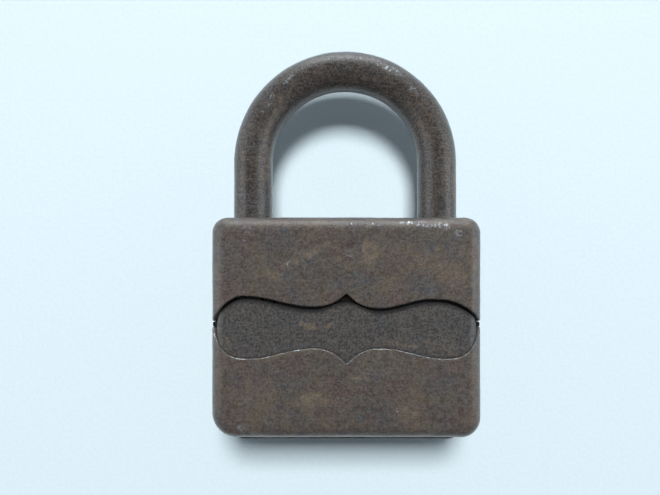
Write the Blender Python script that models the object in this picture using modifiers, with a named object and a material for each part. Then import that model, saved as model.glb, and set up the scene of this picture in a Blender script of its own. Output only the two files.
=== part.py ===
"""Steel padlock: a shell in two drawn halves over a riveted case, with a pin-tumbler lock inside.

The lock lies on its back. +X runs across the body, +Y from the keyhole end towards the shackle, and +Z out
of the front face. The origin is on the back plane, under the middle of the whole lock. Units are metres.
The lock is closed and released: the bolts are drawn, and the pins stand as the right key lifts them.
"""

import math
from collections import namedtuple

import bmesh
import bpy
from mathutils import Vector

MM = 0.001

# Body
BODY_WIDTH = 50.8 * MM
BODY_HEIGHT = 42.2 * MM
BODY_THICKNESS = 20.0 * MM
TOP_CORNER_RADIUS = 3.0 * MM
BOTTOM_CORNER_RADIUS = 4.2 * MM
EDGE_ROUNDING = 2.3 * MM
SHELL_WALL = 1.1 * MM

# Clearances
CONTACT_GAP = 0.3 * MM  # between faces that rest on each other
RUNNING_GAP = 0.25 * MM  # round what slides or turns in the case
PLUG_GAP = 0.1 * MM  # round the plug in its housing
PIN_GAP = 0.15 * MM  # round the tumbler pins
LOOSE_GAP = 0.2 * MM  # round screws, rivets and springs

# Window between the shells. Heights are from the waist line; a ScrollEdge runs from a peak at the middle
# down to a valley, up to a swell, and round a lobe to the side of the body.
ScrollEdge = namedtuple("ScrollEdge", "peak valley valley_x swell lobe_width end lobe_power")
WAIST_DEPTH = 20.8 * MM
UPPER_SCROLL = ScrollEdge(6.6 * MM, 3.95 * MM, 6.0 * MM, 5.8 * MM, 7.4 * MM, 1.2 * MM, 2.0)
LOWER_SCROLL = ScrollEdge(6.55 * MM, 3.6 * MM, 6.3 * MM, 5.5 * MM, 7.2 * MM, 0.0 * MM, 3.0)
PEAK_POWER = 2.5

# Waist plates, in the window
BAND_RECESS = 0.45 * MM
BAND_WALL = 0.7 * MM
BAND_HUMP = 1.4 * MM  # under the upper shell's peak
BAND_UPPER_GAP = 0.7 * MM
BAND_LOWER_GAP = 0.25 * MM
BAND_END_GAP = 1.25 * MM
BAND_END_RISE = 0.2 * MM  # from the waist line to the tips of the plate
BAND_UPPER_ROUND = 6.0 * MM  # lengths of the rounded ends
BAND_LOWER_ROUND = 2.7 * MM

# Rib on each side of the case, between the rims of the shells
WAIST_RIB_INSET = 0.3 * MM  # from the side of the body
WAIST_RIB_MARGIN = 2.1 * MM  # from the front and the back of the body

# Keyhole plate
KEYHOLE_PLATE_WALL = 0.8 * MM
KEYHOLE_PLATE_PROUD = 0.6 * MM
KEYHOLE_PLATE_INSET = 4.2 * MM  # from the sides of the body
KEYHOLE_PLATE_MARGIN = 0.7 * MM  # from the rounded front and back edges
KEYHOLE_PLATE_CORNER = 2.0 * MM
KEYHOLE_PLATE_SEAT = 0.2 * MM

# Shackle
SHACKLE_DIAMETER = 7.9 * MM
LEG_SPACING = 37.4 * MM
SHACKLE_RISE = 34.05 * MM  # body top to the top of the bow
TOE_LENGTH = 12.0 * MM  # inside the body, as is HEEL_LENGTH
HEEL_LENGTH = 33.1 * MM
SHACKLE_LIFT = 13.0 * MM
HEEL_HEAD = 3.0 * MM
HEEL_FLAT_DEPTH = 1.2 * MM
HEEL_DRILLING_RADIUS = 1.95 * MM
HEEL_DRILLING_DEPTH = 9.0 * MM
HEEL_ROOM = 2.0 * MM  # under the heel
LEG_CHAMFER = 0.8 * MM
RETAINING_PIN_RADIUS = 1.2 * MM

# Bolts and cam
BOLT_DEPTH = 7.1 * MM
BOLT_THROW = 2.3 * MM
BOLT_RADIUS = 2.2 * MM
BOLT_HEAD_RADIUS = 3.2 * MM
BOLT_HEAD_LENGTH = 2.6 * MM
BOLT_DOME = 1.2 * MM
CAM_LOW_RADIUS = 2.6 * MM
CAM_THICKNESS = 5.2 * MM
CAM_FALL_DEG = 50
SPINDLE_RADIUS = 2.9 * MM
JOURNAL_RADIUS = 1.5 * MM
JOURNAL_LENGTH = 1.6 * MM
TONGUE_WIDTH = 1.6 * MM
TONGUE_DEPTH = 1.2 * MM

# Cylinder
PLUG_RADIUS = 4.9 * MM
PLUG_FLANGE_RADIUS = 5.8 * MM
PLUG_FLANGE_LENGTH = 1.8 * MM
PLUG_TAIL = 1.4 * MM
HOUSING_RADIUS = 6.6 * MM
HOUSING_LENGTH = 22.2 * MM
TOWER_REACH = 13.9 * MM
TOWER_THICKNESS = 6.4 * MM
TOWER_START = 1.6 * MM
LUG_THICKNESS = 2.4 * MM
LUG_OVERHANG = 2.6 * MM
KEYWAY_WIDTH = 1.6 * MM
KEYWAY_LOW = 4.0 * MM
KEYWAY_HIGH = 3.0 * MM
CLIP_WALL = 0.5 * MM
CLIP_RADIUS = 5.9 * MM
CLIP_GROOVE_RADIUS = 4.2 * MM

# Tumblers
PIN_RADIUS = 1.35 * MM
FIRST_PIN = 3.6 * MM  # from the outer end of the housing
PIN_PITCH = 3.6 * MM
KEY_PIN_LENGTHS = (2.6 * MM, 3.8 * MM, 3.2 * MM, 4.1 * MM, 2.9 * MM)
DRIVER_PIN_LENGTH = 3.0 * MM
PIN_TIP = 0.5 * MM
PIN_HOLE_BEYOND_AXIS = 0.8 * MM
CHAMBER_COVER_WALL = 1.1 * MM
CHAMBER_COVER_WIDTH = 4.0 * MM

# Fasteners
CASE_RIVET_RADIUS = 1.2 * MM
CASE_RIVET_HEAD_RADIUS = 2.0 * MM
CASE_RIVET_HEAD = 0.7 * MM
PLATE_RIVET_RADIUS = 1.0 * MM
PLATE_RIVET_HEAD_RADIUS = 1.7 * MM
PLATE_RIVET_LENGTH = 5.0 * MM
PLATE_RIVET_SPACING = 32.0 * MM
SCREW_RADIUS = 1.25 * MM
SCREW_HEAD_RADIUS = 2.2 * MM
SCREW_HEAD = 1.4 * MM
SCREW_SLOT = 0.6 * MM

# Springs: radius of the wire
BOLT_SPRING_WIRE = 0.25 * MM
PIN_SPRING_WIRE = 0.18 * MM
SHACKLE_SPRING_WIRE = 0.25 * MM

# Facets
CORNER_STEPS = 5
ROUNDING_STEPS = 3
SCROLL_STEPS = 14
BORE_SIDES = 24
PIN_SIDES = 12
COIL_STEPS = 8

# Stations that follow from the sizes above
HALF_WIDTH = BODY_WIDTH / 2
MID_Z = BODY_THICKNESS / 2
TOP_Y = (BODY_HEIGHT - SHACKLE_RISE) / 2
BOTTOM_Y = TOP_Y - BODY_HEIGHT
SHELL_BOTTOM_Y = BOTTOM_Y + KEYHOLE_PLATE_PROUD
WAIST_Y = TOP_Y - WAIST_DEPTH
CASE_INSET = SHELL_WALL + CONTACT_GAP
CASE_BOTTOM_Y = SHELL_BOTTOM_Y + CASE_INSET
BAR_RADIUS = SHACKLE_DIAMETER / 2
LEG_X = LEG_SPACING / 2
LEG_BORE_RADIUS = BAR_RADIUS + RUNNING_GAP
TOE_Y = TOP_Y - TOE_LENGTH
HEEL_Y = TOP_Y - HEEL_LENGTH
HEEL_FLOOR_Y = HEEL_Y - HEEL_ROOM
TOE_FLOOR_Y = TOE_Y - SCREW_HEAD - 2 * CONTACT_GAP
RETAINING_PIN_Y = HEEL_Y + HEEL_HEAD + SHACKLE_LIFT + CONTACT_GAP + RETAINING_PIN_RADIUS
RETAINING_PIN_X = -LEG_X + BAR_RADIUS - HEEL_FLAT_DEPTH + LOOSE_GAP + RETAINING_PIN_RADIUS
BOLT_Y = TOP_Y - BOLT_DEPTH
BOLT_TIP_X = CAM_LOW_RADIUS + CONTACT_GAP
BOLT_END_X = LEG_X - BAR_RADIUS - CONTACT_GAP
BOLT_SHOULDER_X = BOLT_TIP_X + BOLT_HEAD_LENGTH
COUNTERBORE_X = BOLT_END_X - 3 * MM
COUNTERBORE_RADIUS = BOLT_HEAD_RADIUS + RUNNING_GAP
CAM_HIGH_RADIUS = CAM_LOW_RADIUS + BOLT_THROW
CAM_ROOM_RADIUS = CAM_HIGH_RADIUS + LOOSE_GAP + RUNNING_GAP
HOUSING_OUTER_Y = CASE_BOTTOM_Y + LOOSE_GAP
HOUSING_INNER_Y = HOUSING_OUTER_Y + HOUSING_LENGTH
PLUG_END_Y = HOUSING_INNER_Y + PLUG_TAIL
PLUG_FACE_Y = BOTTOM_Y + LOOSE_GAP
POCKET_END_Y = PLUG_END_Y + CONTACT_GAP
LUG_Y = HOUSING_INNER_Y - LUG_THICKNESS
LUG_REACH = LEG_X + LUG_OVERHANG
SHEAR_X = PLUG_RADIUS - PIN_GAP
DRIVER_X = PLUG_RADIUS + PLUG_GAP + PIN_GAP
COVER_X = TOWER_REACH - CHAMBER_COVER_WALL - LOOSE_GAP
CASE_RIVET_PLACES = (
    (-(HOUSING_RADIUS + LEG_X - BAR_RADIUS) / 2, HOUSING_OUTER_Y + 5.8 * MM),
    (-9.0 * MM, POCKET_END_Y + 2.4 * MM),
    (9.0 * MM, POCKET_END_Y + 2.4 * MM),
    (TOWER_REACH + 4.6 * MM, HOUSING_OUTER_Y + 6.8 * MM),
)


def clear_scene():
    for obj in list(bpy.data.objects):
        bpy.data.objects.remove(obj, do_unlink=True)


def new_collection(name):
    collection = bpy.data.collections.new(name)
    bpy.context.scene.collection.children.link(collection)
    return collection


clear_scene()
PARTS = new_collection("padlock")
CUTTERS = new_collection("padlock cutters")


# Materials


def metal(name, colour, roughness):
    material = bpy.data.materials.new(name)
    material.use_nodes = True
    surface = material.node_tree.nodes["Principled BSDF"]
    surface.inputs["Base Color"].default_value = (*colour, 1.0)
    surface.inputs["Metallic"].default_value = 0.9
    surface.inputs["Roughness"].default_value = roughness
    material.diffuse_color = (*colour, 1.0)
    return material


BROWNED_STEEL = metal("browned steel", (0.11, 0.075, 0.06), 0.5)
SHACKLE_STEEL = metal("browned shackle steel", (0.12, 0.09, 0.075), 0.42)
CASE_STEEL = metal("dark cast steel", (0.05, 0.045, 0.04), 0.7)
BRASS = metal("brass", (0.62, 0.45, 0.18), 0.35)
BRIGHT_STEEL = metal("bright steel", (0.5, 0.5, 0.5), 0.35)
SPRING_STEEL = metal("spring steel", (0.3, 0.3, 0.32), 0.3)


# Shapes


def helper(name, mesh):
    """A hidden shape, until finish_piece shows it."""
    obj = bpy.data.objects.new(name, mesh)
    CUTTERS.objects.link(obj)
    obj.hide_render = True
    obj.display_type = "WIRE"
    return obj


def from_bmesh(name, bm):
    mesh = bpy.data.meshes.new(name)
    bm.to_mesh(mesh)
    bm.free()
    return helper(name, mesh)


def meshed(maker):
    """The closed mesh of a curve object, in the curve's place. The curve is removed."""
    bpy.context.view_layer.update()
    evaluated = maker.evaluated_get(bpy.context.evaluated_depsgraph_get())
    mesh = bpy.data.meshes.new_from_object(evaluated)
    matrix = maker.matrix_world.copy()
    name = maker.name
    bpy.data.objects.remove(maker)
    bm = bmesh.new()
    bm.from_mesh(mesh)
    bmesh.ops.remove_doubles(bm, verts=bm.verts, dist=0.001 * MM)
    bmesh.ops.dissolve_limit(bm, angle_limit=math.radians(0.5), verts=bm.verts, edges=bm.edges)
    bmesh.ops.recalc_face_normals(bm, faces=bm.faces)
    bm.to_mesh(mesh)
    bm.free()
    obj = helper(name, mesh)
    obj.matrix_world = matrix
    return obj


def arc(centre, radius, start_deg, end_deg, steps):
    turns = [math.radians(start_deg + (end_deg - start_deg) * i / steps) for i in range(steps + 1)]
    return [(centre[0] + radius * math.cos(t), centre[1] + radius * math.sin(t)) for t in turns]


def flat_solid(name, outline, low_z, high_z):
    """A flat outline given thickness along Z."""
    curve = bpy.data.curves.new(name, "CURVE")
    curve.dimensions = "2D"
    curve.fill_mode = "BOTH"
    curve.extrude = (high_z - low_z) / 2
    spline = curve.splines.new("POLY")
    spline.points.add(len(outline) - 1)
    for point, (x, y) in zip(spline.points, outline):
        point.co = (x, y, 0, 1)
    spline.use_cyclic_u = True
    maker = bpy.data.objects.new(name, curve)
    CUTTERS.objects.link(maker)
    maker.location.z = (low_z + high_z) / 2
    return meshed(maker)


def wire(name, points, radius, rounding):
    """Round bar or wire along a line of points."""
    curve = bpy.data.curves.new(name, "CURVE")
    curve.dimensions = "3D"
    curve.bevel_depth = radius
    curve.bevel_resolution = rounding
    curve.use_fill_caps = True
    spline = curve.splines.new("POLY")
    spline.points.add(len(points) - 1)
    for point, place in zip(spline.points, points):
        point.co = (*place, 1)
    maker = bpy.data.objects.new(name, curve)
    CUTTERS.objects.link(maker)
    return meshed(maker)


def box(name, low, high):
    bm = bmesh.new()
    bmesh.ops.create_cube(bm, size=1)
    size = [b - a for a, b in zip(low, high)]
    bmesh.ops.scale(bm, vec=size, verts=bm.verts)
    obj = from_bmesh(name, bm)
    obj.location = [(a + b) / 2 for a, b in zip(low, high)]
    return obj


def point_along(obj, direction):
    obj.rotation_mode = "QUATERNION"
    obj.rotation_quaternion = Vector(direction).to_track_quat("Z", "Y")


def rod(name, start, end, radius, sides=BORE_SIDES):
    start, end = Vector(start), Vector(end)
    bm = bmesh.new()
    depth = (end - start).length
    bmesh.ops.create_cone(bm, cap_ends=True, segments=sides, radius1=radius, radius2=radius, depth=depth)
    obj = from_bmesh(name, bm)
    obj.location = (start + end) / 2
    point_along(obj, end - start)
    return obj


def turned(name, profile, base, direction, sides=BORE_SIDES, ring=False):
    """A turned piece. The profile's (radius, height) pairs run down its outer side; heights are from base."""
    mesh = bpy.data.meshes.new(name)
    edges = [(i, i + 1) for i in range(len(profile) - 1)]
    if ring:
        edges.append((len(profile) - 1, 0))
    mesh.from_pydata([(radius, 0, height) for radius, height in profile], edges, [])
    obj = helper(name, mesh)
    screw = obj.modifiers.new("turn", "SCREW")
    screw.steps = screw.render_steps = sides
    screw.use_merge_vertices = True
    screw.merge_threshold = 0.001 * MM
    obj.location = base
    point_along(obj, direction)
    return obj


def coil(name, base, direction, mean_radius, wire_radius, length, turns):
    """Helical spring. Its wire fills the length from base, along direction."""
    count = int(turns * COIL_STEPS)
    pitch = (length - 2 * wire_radius) / count
    points = []
    for i in range(count + 1):
        angle = 2 * math.pi * i / COIL_STEPS
        height = wire_radius + i * pitch
        points.append((mean_radius * math.cos(angle), mean_radius * math.sin(angle), height))
    obj = wire(name, points, wire_radius, 2)
    obj.location = base
    point_along(obj, direction)
    return obj


def boolean(obj, operation, others):
    for other in others:
        modifier = obj.modifiers.new(f"{operation.lower()} {other.name}", "BOOLEAN")
        modifier.operation = operation
        modifier.object = other
    return obj


def cut(obj, *cutters):
    return boolean(obj, "DIFFERENCE", cutters)


def keep_inside(obj, region):
    return boolean(obj, "INTERSECT", [region])


def join(obj, *others):
    return boolean(obj, "UNION", others)


def bevelled(obj, width, steps, angle_deg=60):
    bevel = obj.modifiers.new("rounding", "BEVEL")
    bevel.width = width
    bevel.segments = steps
    bevel.limit_method = "ANGLE"
    bevel.angle_limit = math.radians(angle_deg)
    return obj


def set_origin(obj, point):
    """Moves an unturned piece's origin to a point on its joint's axis."""
    shift = Vector(point) - obj.location
    for vertex in obj.data.vertices:
        vertex.co -= shift
    obj.location = point


def finish_piece(obj, material):
    CUTTERS.objects.unlink(obj)
    PARTS.objects.link(obj)
    obj.hide_render = False
    obj.display_type = "TEXTURED"
    obj.data.materials.clear()
    obj.data.materials.append(material)
    obj.data.shade_smooth()
    obj.data.set_sharp_from_angle(angle=math.radians(35))
    return obj


# Shells, waist plates and case


def body_outline(inset):
    """Plan of the body, moved inwards by inset, with round corners."""
    left, right = inset - HALF_WIDTH, HALF_WIDTH - inset
    low, high = SHELL_BOTTOM_Y + inset, TOP_Y - inset
    top, bottom = TOP_CORNER_RADIUS - inset, BOTTOM_CORNER_RADIUS - inset
    outline = arc((right - top, high - top), top, 0, 90, CORNER_STEPS)
    outline += arc((left + top, high - top), top, 90, 180, CORNER_STEPS)
    outline += arc((left + bottom, low + bottom), bottom, 180, 270, CORNER_STEPS)
    outline += arc((right - bottom, low + bottom), bottom, 270, 360, CORNER_STEPS)
    return outline


def body_block(name, inset):
    """The body's whole outer shape, moved inwards by inset."""
    block = flat_solid(name, body_outline(inset), inset, BODY_THICKNESS - inset)
    return bevelled(block, EDGE_ROUNDING - inset, ROUNDING_STEPS)


def scroll_height(edge, x, half_width, end):
    """Distance of a scrolled edge from the waist line, at x."""
    x = min(abs(x), half_width)
    swell_x = half_width - edge.lobe_width
    if x < edge.valley_x:
        return edge.valley + (edge.peak - edge.valley) * (1 - x / edge.valley_x) ** PEAK_POWER
    if x < swell_x:
        share = (x - edge.valley_x) / (swell_x - edge.valley_x)
        return edge.valley + (edge.swell - edge.valley) * (1 - math.cos(math.pi * share)) / 2
    share = (x - swell_x) / edge.lobe_width
    return end + (edge.swell - end) * (1 - share**edge.lobe_power)


def scroll_stations(half_width):
    """X places along a scrolled edge, closer together at the middle and at the two ends."""
    steps = range(1, SCROLL_STEPS + 1)
    right = [half_width * (1 - math.cos(math.pi * step / SCROLL_STEPS)) / 2 for step in steps]
    return [-x for x in reversed(right)] + [0.0] + right


def shell_region(name, edge, sign):
    """Everything on one side of the window: sign is 1 towards the shackle and -1 towards the keyhole."""
    outline = [(-HALF_WIDTH - MM, WAIST_Y + sign * edge.end)]
    for x in scroll_stations(HALF_WIDTH):
        outline.append((x, WAIST_Y + sign * scroll_height(edge, x, HALF_WIDTH, edge.end)))
    outline.append((HALF_WIDTH + MM, WAIST_Y + sign * edge.end))
    far_y = WAIST_Y + sign * BODY_HEIGHT
    outline += [(HALF_WIDTH + MM, far_y), (-HALF_WIDTH - MM, far_y)]
    return flat_solid(name, outline, -MM, BODY_THICKNESS + MM)


def rounded_end(x, half_width, length, height):
    """A plate's height at x: full up to its last length, then a quarter ellipse."""
    share = max(0.0, abs(x) - (half_width - length)) / length
    return height * math.sqrt(max(0.0, 1 - share * share))


def band_span(x, half_width):
    """Low and high Y of a waist plate at x."""
    above = scroll_height(UPPER_SCROLL, x, HALF_WIDTH, UPPER_SCROLL.end)
    if abs(x) < UPPER_SCROLL.valley_x:
        above = UPPER_SCROLL.valley + BAND_HUMP * (1 + math.cos(math.pi * x / UPPER_SCROLL.valley_x)) / 2
    above -= BAND_UPPER_GAP + BAND_END_RISE
    below = scroll_height(LOWER_SCROLL, x, HALF_WIDTH, LOWER_SCROLL.end) - BAND_LOWER_GAP + BAND_END_RISE
    above = min(above, rounded_end(x, half_width, BAND_UPPER_ROUND, UPPER_SCROLL.swell))
    if abs(x) > half_width - BAND_LOWER_ROUND:
        below = min(below, rounded_end(x, half_width, BAND_LOWER_ROUND, LOWER_SCROLL.swell))
    tip_y = WAIST_Y + BAND_END_RISE
    return tip_y - below, tip_y + above


def band_region(name, low_z, high_z):
    """Plan of a waist plate: close to the lower shell, with a gap under the upper one."""
    half_width = HALF_WIDTH - BAND_END_GAP
    stations = scroll_stations(half_width)
    upper = [(x, band_span(x, half_width)[1]) for x in stations]
    lower = [(x, band_span(x, half_width)[0]) for x in stations[1:-1]]
    return flat_solid(name, upper + lower[::-1], low_z, high_z)


def hollow_shell(name, region):
    shell = body_block(name, 0)
    cut(shell, body_block(name + " hollow", SHELL_WALL))
    return keep_inside(shell, region)


def make_upper_shell():
    shell = hollow_shell("upper_shell", shell_region("upper region", UPPER_SCROLL, 1))
    for side in (-1, 1):
        start = (side * LEG_X, TOP_Y - 2 * SHELL_WALL, MID_Z)
        end = (side * LEG_X, TOP_Y + MM, MID_Z)
        cut(shell, rod("shackle hole", start, end, LEG_BORE_RADIUS))
    finish_piece(shell, BROWNED_STEEL)


def across_y(name, outline, low_y, high_y, centre_z):
    """A flat outline in X and Z given thickness along Y."""
    solid = flat_solid(name, outline, 0, high_y - low_y)
    solid.rotation_euler.x = math.pi / 2
    solid.location = (0, (low_y + high_y) / 2, centre_z)
    return solid


def keyhole_plate_outline(grow):
    """Plan of the keyhole plate about its centre, grown all round."""
    half_x = HALF_WIDTH - KEYHOLE_PLATE_INSET + grow
    half_z = MID_Z - EDGE_ROUNDING - KEYHOLE_PLATE_MARGIN + grow
    r = KEYHOLE_PLATE_CORNER
    outline = []
    for x, z, start in ((1, 1, 0), (-1, 1, 90), (-1, -1, 180), (1, -1, 270)):
        outline += arc((x * (half_x - r), z * (half_z - r)), r, start, start + 90, CORNER_STEPS - 2)
    return outline


def plate_rivet_places():
    return [(side * PLATE_RIVET_SPACING / 2, BOTTOM_Y, MID_Z) for side in (-1, 1)]


def plate_rivet_holes():
    depth = PLATE_RIVET_LENGTH + CONTACT_GAP
    holes = []
    for x, y, z in plate_rivet_places():
        radius = PLATE_RIVET_RADIUS + LOOSE_GAP
        holes.append(rod("plate rivet hole", (x, y - MM, z), (x, y + depth, z), radius, PIN_SIDES))
    return holes


def plug_opening():
    start, end = (0, BOTTOM_Y - MM, MID_Z), (0, CASE_BOTTOM_Y + MM, MID_Z)
    return rod("plug opening", start, end, PLUG_FLANGE_RADIUS + CONTACT_GAP)


def make_lower_shell():
    shell = hollow_shell("lower_shell", shell_region("lower region", LOWER_SCROLL, -1))
    seat_y = BOTTOM_Y + KEYHOLE_PLATE_WALL + KEYHOLE_PLATE_SEAT
    seat = across_y("plate seat", keyhole_plate_outline(LOOSE_GAP), BOTTOM_Y - MM, seat_y, MID_Z)
    cut(shell, seat, plug_opening(), *plate_rivet_holes())
    finish_piece(shell, BROWNED_STEEL)


def make_keyhole_plate():
    inner_y = BOTTOM_Y + KEYHOLE_PLATE_WALL
    plate = across_y("keyhole_plate", keyhole_plate_outline(0), BOTTOM_Y, inner_y, MID_Z)
    bevelled(plate, KEYHOLE_PLATE_WALL / 4, 1)
    cut(plate, plug_opening(), *plate_rivet_holes())
    for x, y, z in plate_rivet_places():
        wide, narrow = PLATE_RIVET_HEAD_RADIUS + LOOSE_GAP, PLATE_RIVET_RADIUS + LOOSE_GAP
        profile = [(0, MM), (wide, MM), (wide, 0), (narrow, -KEYHOLE_PLATE_WALL), (0, -KEYHOLE_PLATE_WALL)]
        cut(plate, turned("countersink", profile, (x, y, z), (0, -1, 0), PIN_SIDES))
    finish_piece(plate, BROWNED_STEEL)


def make_plate_rivets():
    head, shank, foot = PLATE_RIVET_HEAD_RADIUS, PLATE_RIVET_RADIUS, -PLATE_RIVET_LENGTH
    profile = [(0, 0), (head, 0), (shank, -KEYHOLE_PLATE_WALL), (shank, foot), (0, foot)]
    for number, place in enumerate(plate_rivet_places(), start=1):
        rivet = turned(f"plate_rivet_{number}", profile, place, (0, -1, 0), PIN_SIDES)
        finish_piece(rivet, BROWNED_STEEL)


def make_waist_plate(name, low_z, high_z):
    plate = body_block(name, BAND_RECESS)
    cut(plate, body_block(name + " hollow", BAND_RECESS + BAND_WALL))
    keep_inside(plate, band_region(name + " region", low_z, high_z))
    finish_piece(plate, BROWNED_STEEL)


def leg_bores():
    bores = []
    for x, floor_y in ((-LEG_X, HEEL_FLOOR_Y), (LEG_X, TOE_FLOOR_Y)):
        bores.append(rod("leg bore", (x, floor_y, MID_Z), (x, TOP_Y, MID_Z), LEG_BORE_RADIUS))
    return bores


def along_y(name, low_y, high_y, radius, x=0.0, sides=BORE_SIDES):
    return rod(name, (x, low_y, MID_Z), (x, high_y, MID_Z), radius, sides)


def along_x(name, low_x, high_x, y, radius, sides=BORE_SIDES):
    return rod(name, (low_x, y, MID_Z), (high_x, y, MID_Z), radius, sides)


def lock_box(name, low_x, high_x, low_y, high_y, half_z):
    return box(name, (low_x, low_y, MID_Z - half_z), (high_x, high_y, MID_Z + half_z))


def bolt_rooms():
    cam_room = CAM_THICKNESS / 2 + CONTACT_GAP
    journal_y = BOLT_Y + CAM_THICKNESS / 2 + JOURNAL_LENGTH + CONTACT_GAP
    return [
        along_x("bolt bore", -LEG_X, LEG_X, BOLT_Y, BOLT_RADIUS + RUNNING_GAP),
        along_x("bolt counterbore", -COUNTERBORE_X, COUNTERBORE_X, BOLT_Y, COUNTERBORE_RADIUS),
        along_y("cam room", BOLT_Y - cam_room, BOLT_Y + cam_room, CAM_ROOM_RADIUS),
        along_y("journal bore", BOLT_Y, journal_y, JOURNAL_RADIUS + RUNNING_GAP, sides=PIN_SIDES),
        along_y("spindle bore", POCKET_END_Y - MM, BOLT_Y, SPINDLE_RADIUS + RUNNING_GAP),
    ]


def housing_rooms():
    half_z = TOWER_THICKNESS / 2 + CONTACT_GAP
    inner_y = HOUSING_INNER_Y + CONTACT_GAP
    tower_y = HOUSING_OUTER_Y + TOWER_START - CONTACT_GAP
    screw_hole = SCREW_RADIUS + LOOSE_GAP
    return [
        along_y("housing pocket", CASE_BOTTOM_Y - MM, POCKET_END_Y, HOUSING_RADIUS + CONTACT_GAP),
        lock_box("tower pocket", 0, TOWER_REACH + CONTACT_GAP, tower_y, inner_y, half_z),
        lock_box("lug pocket", TOWER_REACH, LUG_REACH + CONTACT_GAP, LUG_Y - CONTACT_GAP, inner_y, half_z),
        along_y("screw hole", HOUSING_INNER_Y, TOE_FLOOR_Y + MM, screw_hole, LEG_X, PIN_SIDES),
    ]


def case_fastener_holes():
    reach = BODY_THICKNESS + MM
    x, y, radius = RETAINING_PIN_X, RETAINING_PIN_Y, RETAINING_PIN_RADIUS + LOOSE_GAP
    holes = [rod("retaining pin hole", (x, y, -MM), (x, y, reach), radius, PIN_SIDES)]
    head_room = CASE_RIVET_HEAD + 2 * LOOSE_GAP
    head_radius = CASE_RIVET_HEAD_RADIUS + LOOSE_GAP
    for x, y in CASE_RIVET_PLACES:
        shank = CASE_RIVET_RADIUS + LOOSE_GAP
        holes.append(rod("case rivet hole", (x, y, -MM), (x, y, reach), shank, PIN_SIDES))
        back, front = CASE_INSET + head_room, BODY_THICKNESS - CASE_INSET - head_room
        holes.append(rod("back head room", (x, y, 0), (x, y, back), head_radius, PIN_SIDES))
        holes.append(rod("front head room", (x, y, front), (x, y, BODY_THICKNESS), head_radius, PIN_SIDES))
    return holes


def waist_ribs():
    """Ribs that keep the rims of the two shells apart, one on each side of the case."""
    low_y = WAIST_Y - LOWER_SCROLL.end + RUNNING_GAP
    high_y = WAIST_Y + UPPER_SCROLL.end - RUNNING_GAP
    low_z, high_z = WAIST_RIB_MARGIN, BODY_THICKNESS - WAIST_RIB_MARGIN
    ribs = []
    for side in (-1, 1):
        near, far = side * (HALF_WIDTH - CASE_INSET - MM), side * (HALF_WIDTH - WAIST_RIB_INSET)
        ribs.append(box("waist rib", (min(near, far), low_y, low_z), (max(near, far), high_y, high_z)))
    return ribs


def make_case():
    rooms = leg_bores() + bolt_rooms() + housing_rooms() + case_fastener_holes() + plate_rivet_holes()
    far = BODY_HEIGHT + BODY_WIDTH
    halves = (("case_back", -far, MID_Z - CONTACT_GAP / 2), ("case_front", MID_Z + CONTACT_GAP / 2, far))
    for name, low_z, high_z in halves:
        half = join(body_block(name, CASE_INSET), *waist_ribs())
        keep_inside(half, box(name + " side", (-far, -far, low_z), (far, far, high_z)))
        cut(half, *rooms)
        finish_piece(half, CASE_STEEL)


def make_case_rivets():
    low, high = CASE_INSET + LOOSE_GAP, BODY_THICKNESS - CASE_INSET - LOOSE_GAP
    head, shank = CASE_RIVET_HEAD_RADIUS, CASE_RIVET_RADIUS
    low_neck, high_neck = low + CASE_RIVET_HEAD, high - CASE_RIVET_HEAD
    profile = [(0, high), (head, high), (head, high_neck), (shank, high_neck)]
    profile += [(shank, low_neck), (head, low_neck), (head, low), (0, low)]
    for number, (x, y) in enumerate(CASE_RIVET_PLACES, start=1):
        rivet = turned(f"case_rivet_{number}", profile, (x, y, 0), (0, 0, 1), PIN_SIDES)
        finish_piece(rivet, BRIGHT_STEEL)


# Shackle


def shackle_path():
    bow_y = TOP_Y + SHACKLE_RISE - BAR_RADIUS - LEG_X
    path = [(-LEG_X, HEEL_Y, MID_Z), (-LEG_X, (HEEL_Y + TOP_Y) / 2, MID_Z)]
    path += [(x, y, MID_Z) for x, y in arc((0, bow_y), LEG_X, 180, 0, 20)]
    return path + [(LEG_X, TOE_Y, MID_Z)]


def bolt_pocket(side):
    """Drilling in a leg's inner side that a thrown bolt enters."""
    mouth_x = LEG_X - BAR_RADIUS - MM
    floor_x = BOLT_END_X + BOLT_THROW + CONTACT_GAP
    return along_x("bolt pocket", side * mouth_x, side * floor_x, BOLT_Y, BOLT_RADIUS + CONTACT_GAP, 16)


def heel_neck():
    """Ring cut round the heel, above its head, so that the lifted shackle can turn on the cross pin."""
    low = HEEL_Y + HEEL_HEAD
    high = low + 2 * (RETAINING_PIN_RADIUS + CONTACT_GAP)
    inner, outer = BAR_RADIUS - HEEL_FLAT_DEPTH, BAR_RADIUS + MM
    profile = [(outer, high), (outer, low), (inner, low), (inner, high)]
    return turned("heel neck", profile, (-LEG_X, 0, MID_Z), (0, 1, 0), 20, ring=True)


def make_shackle():
    bar = wire("shackle", shackle_path(), BAR_RADIUS, 8)
    set_origin(bar, (-LEG_X, TOP_Y, MID_Z))
    bevelled(bar, LEG_CHAMFER, 2)
    flat_x = -LEG_X + BAR_RADIUS - HEEL_FLAT_DEPTH
    flat_top = RETAINING_PIN_Y + RETAINING_PIN_RADIUS + CONTACT_GAP
    flat = lock_box("heel flat", flat_x, flat_x + 2 * MM, HEEL_Y + HEEL_HEAD, flat_top, BAR_RADIUS + MM)
    drilling_y = HEEL_Y + HEEL_DRILLING_DEPTH
    drilling = along_y("heel drilling", HEEL_Y - MM, drilling_y, HEEL_DRILLING_RADIUS, -LEG_X, 16)
    cut(bar, bolt_pocket(-1), bolt_pocket(1), flat, heel_neck(), drilling)
    finish_piece(bar, SHACKLE_STEEL)


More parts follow.
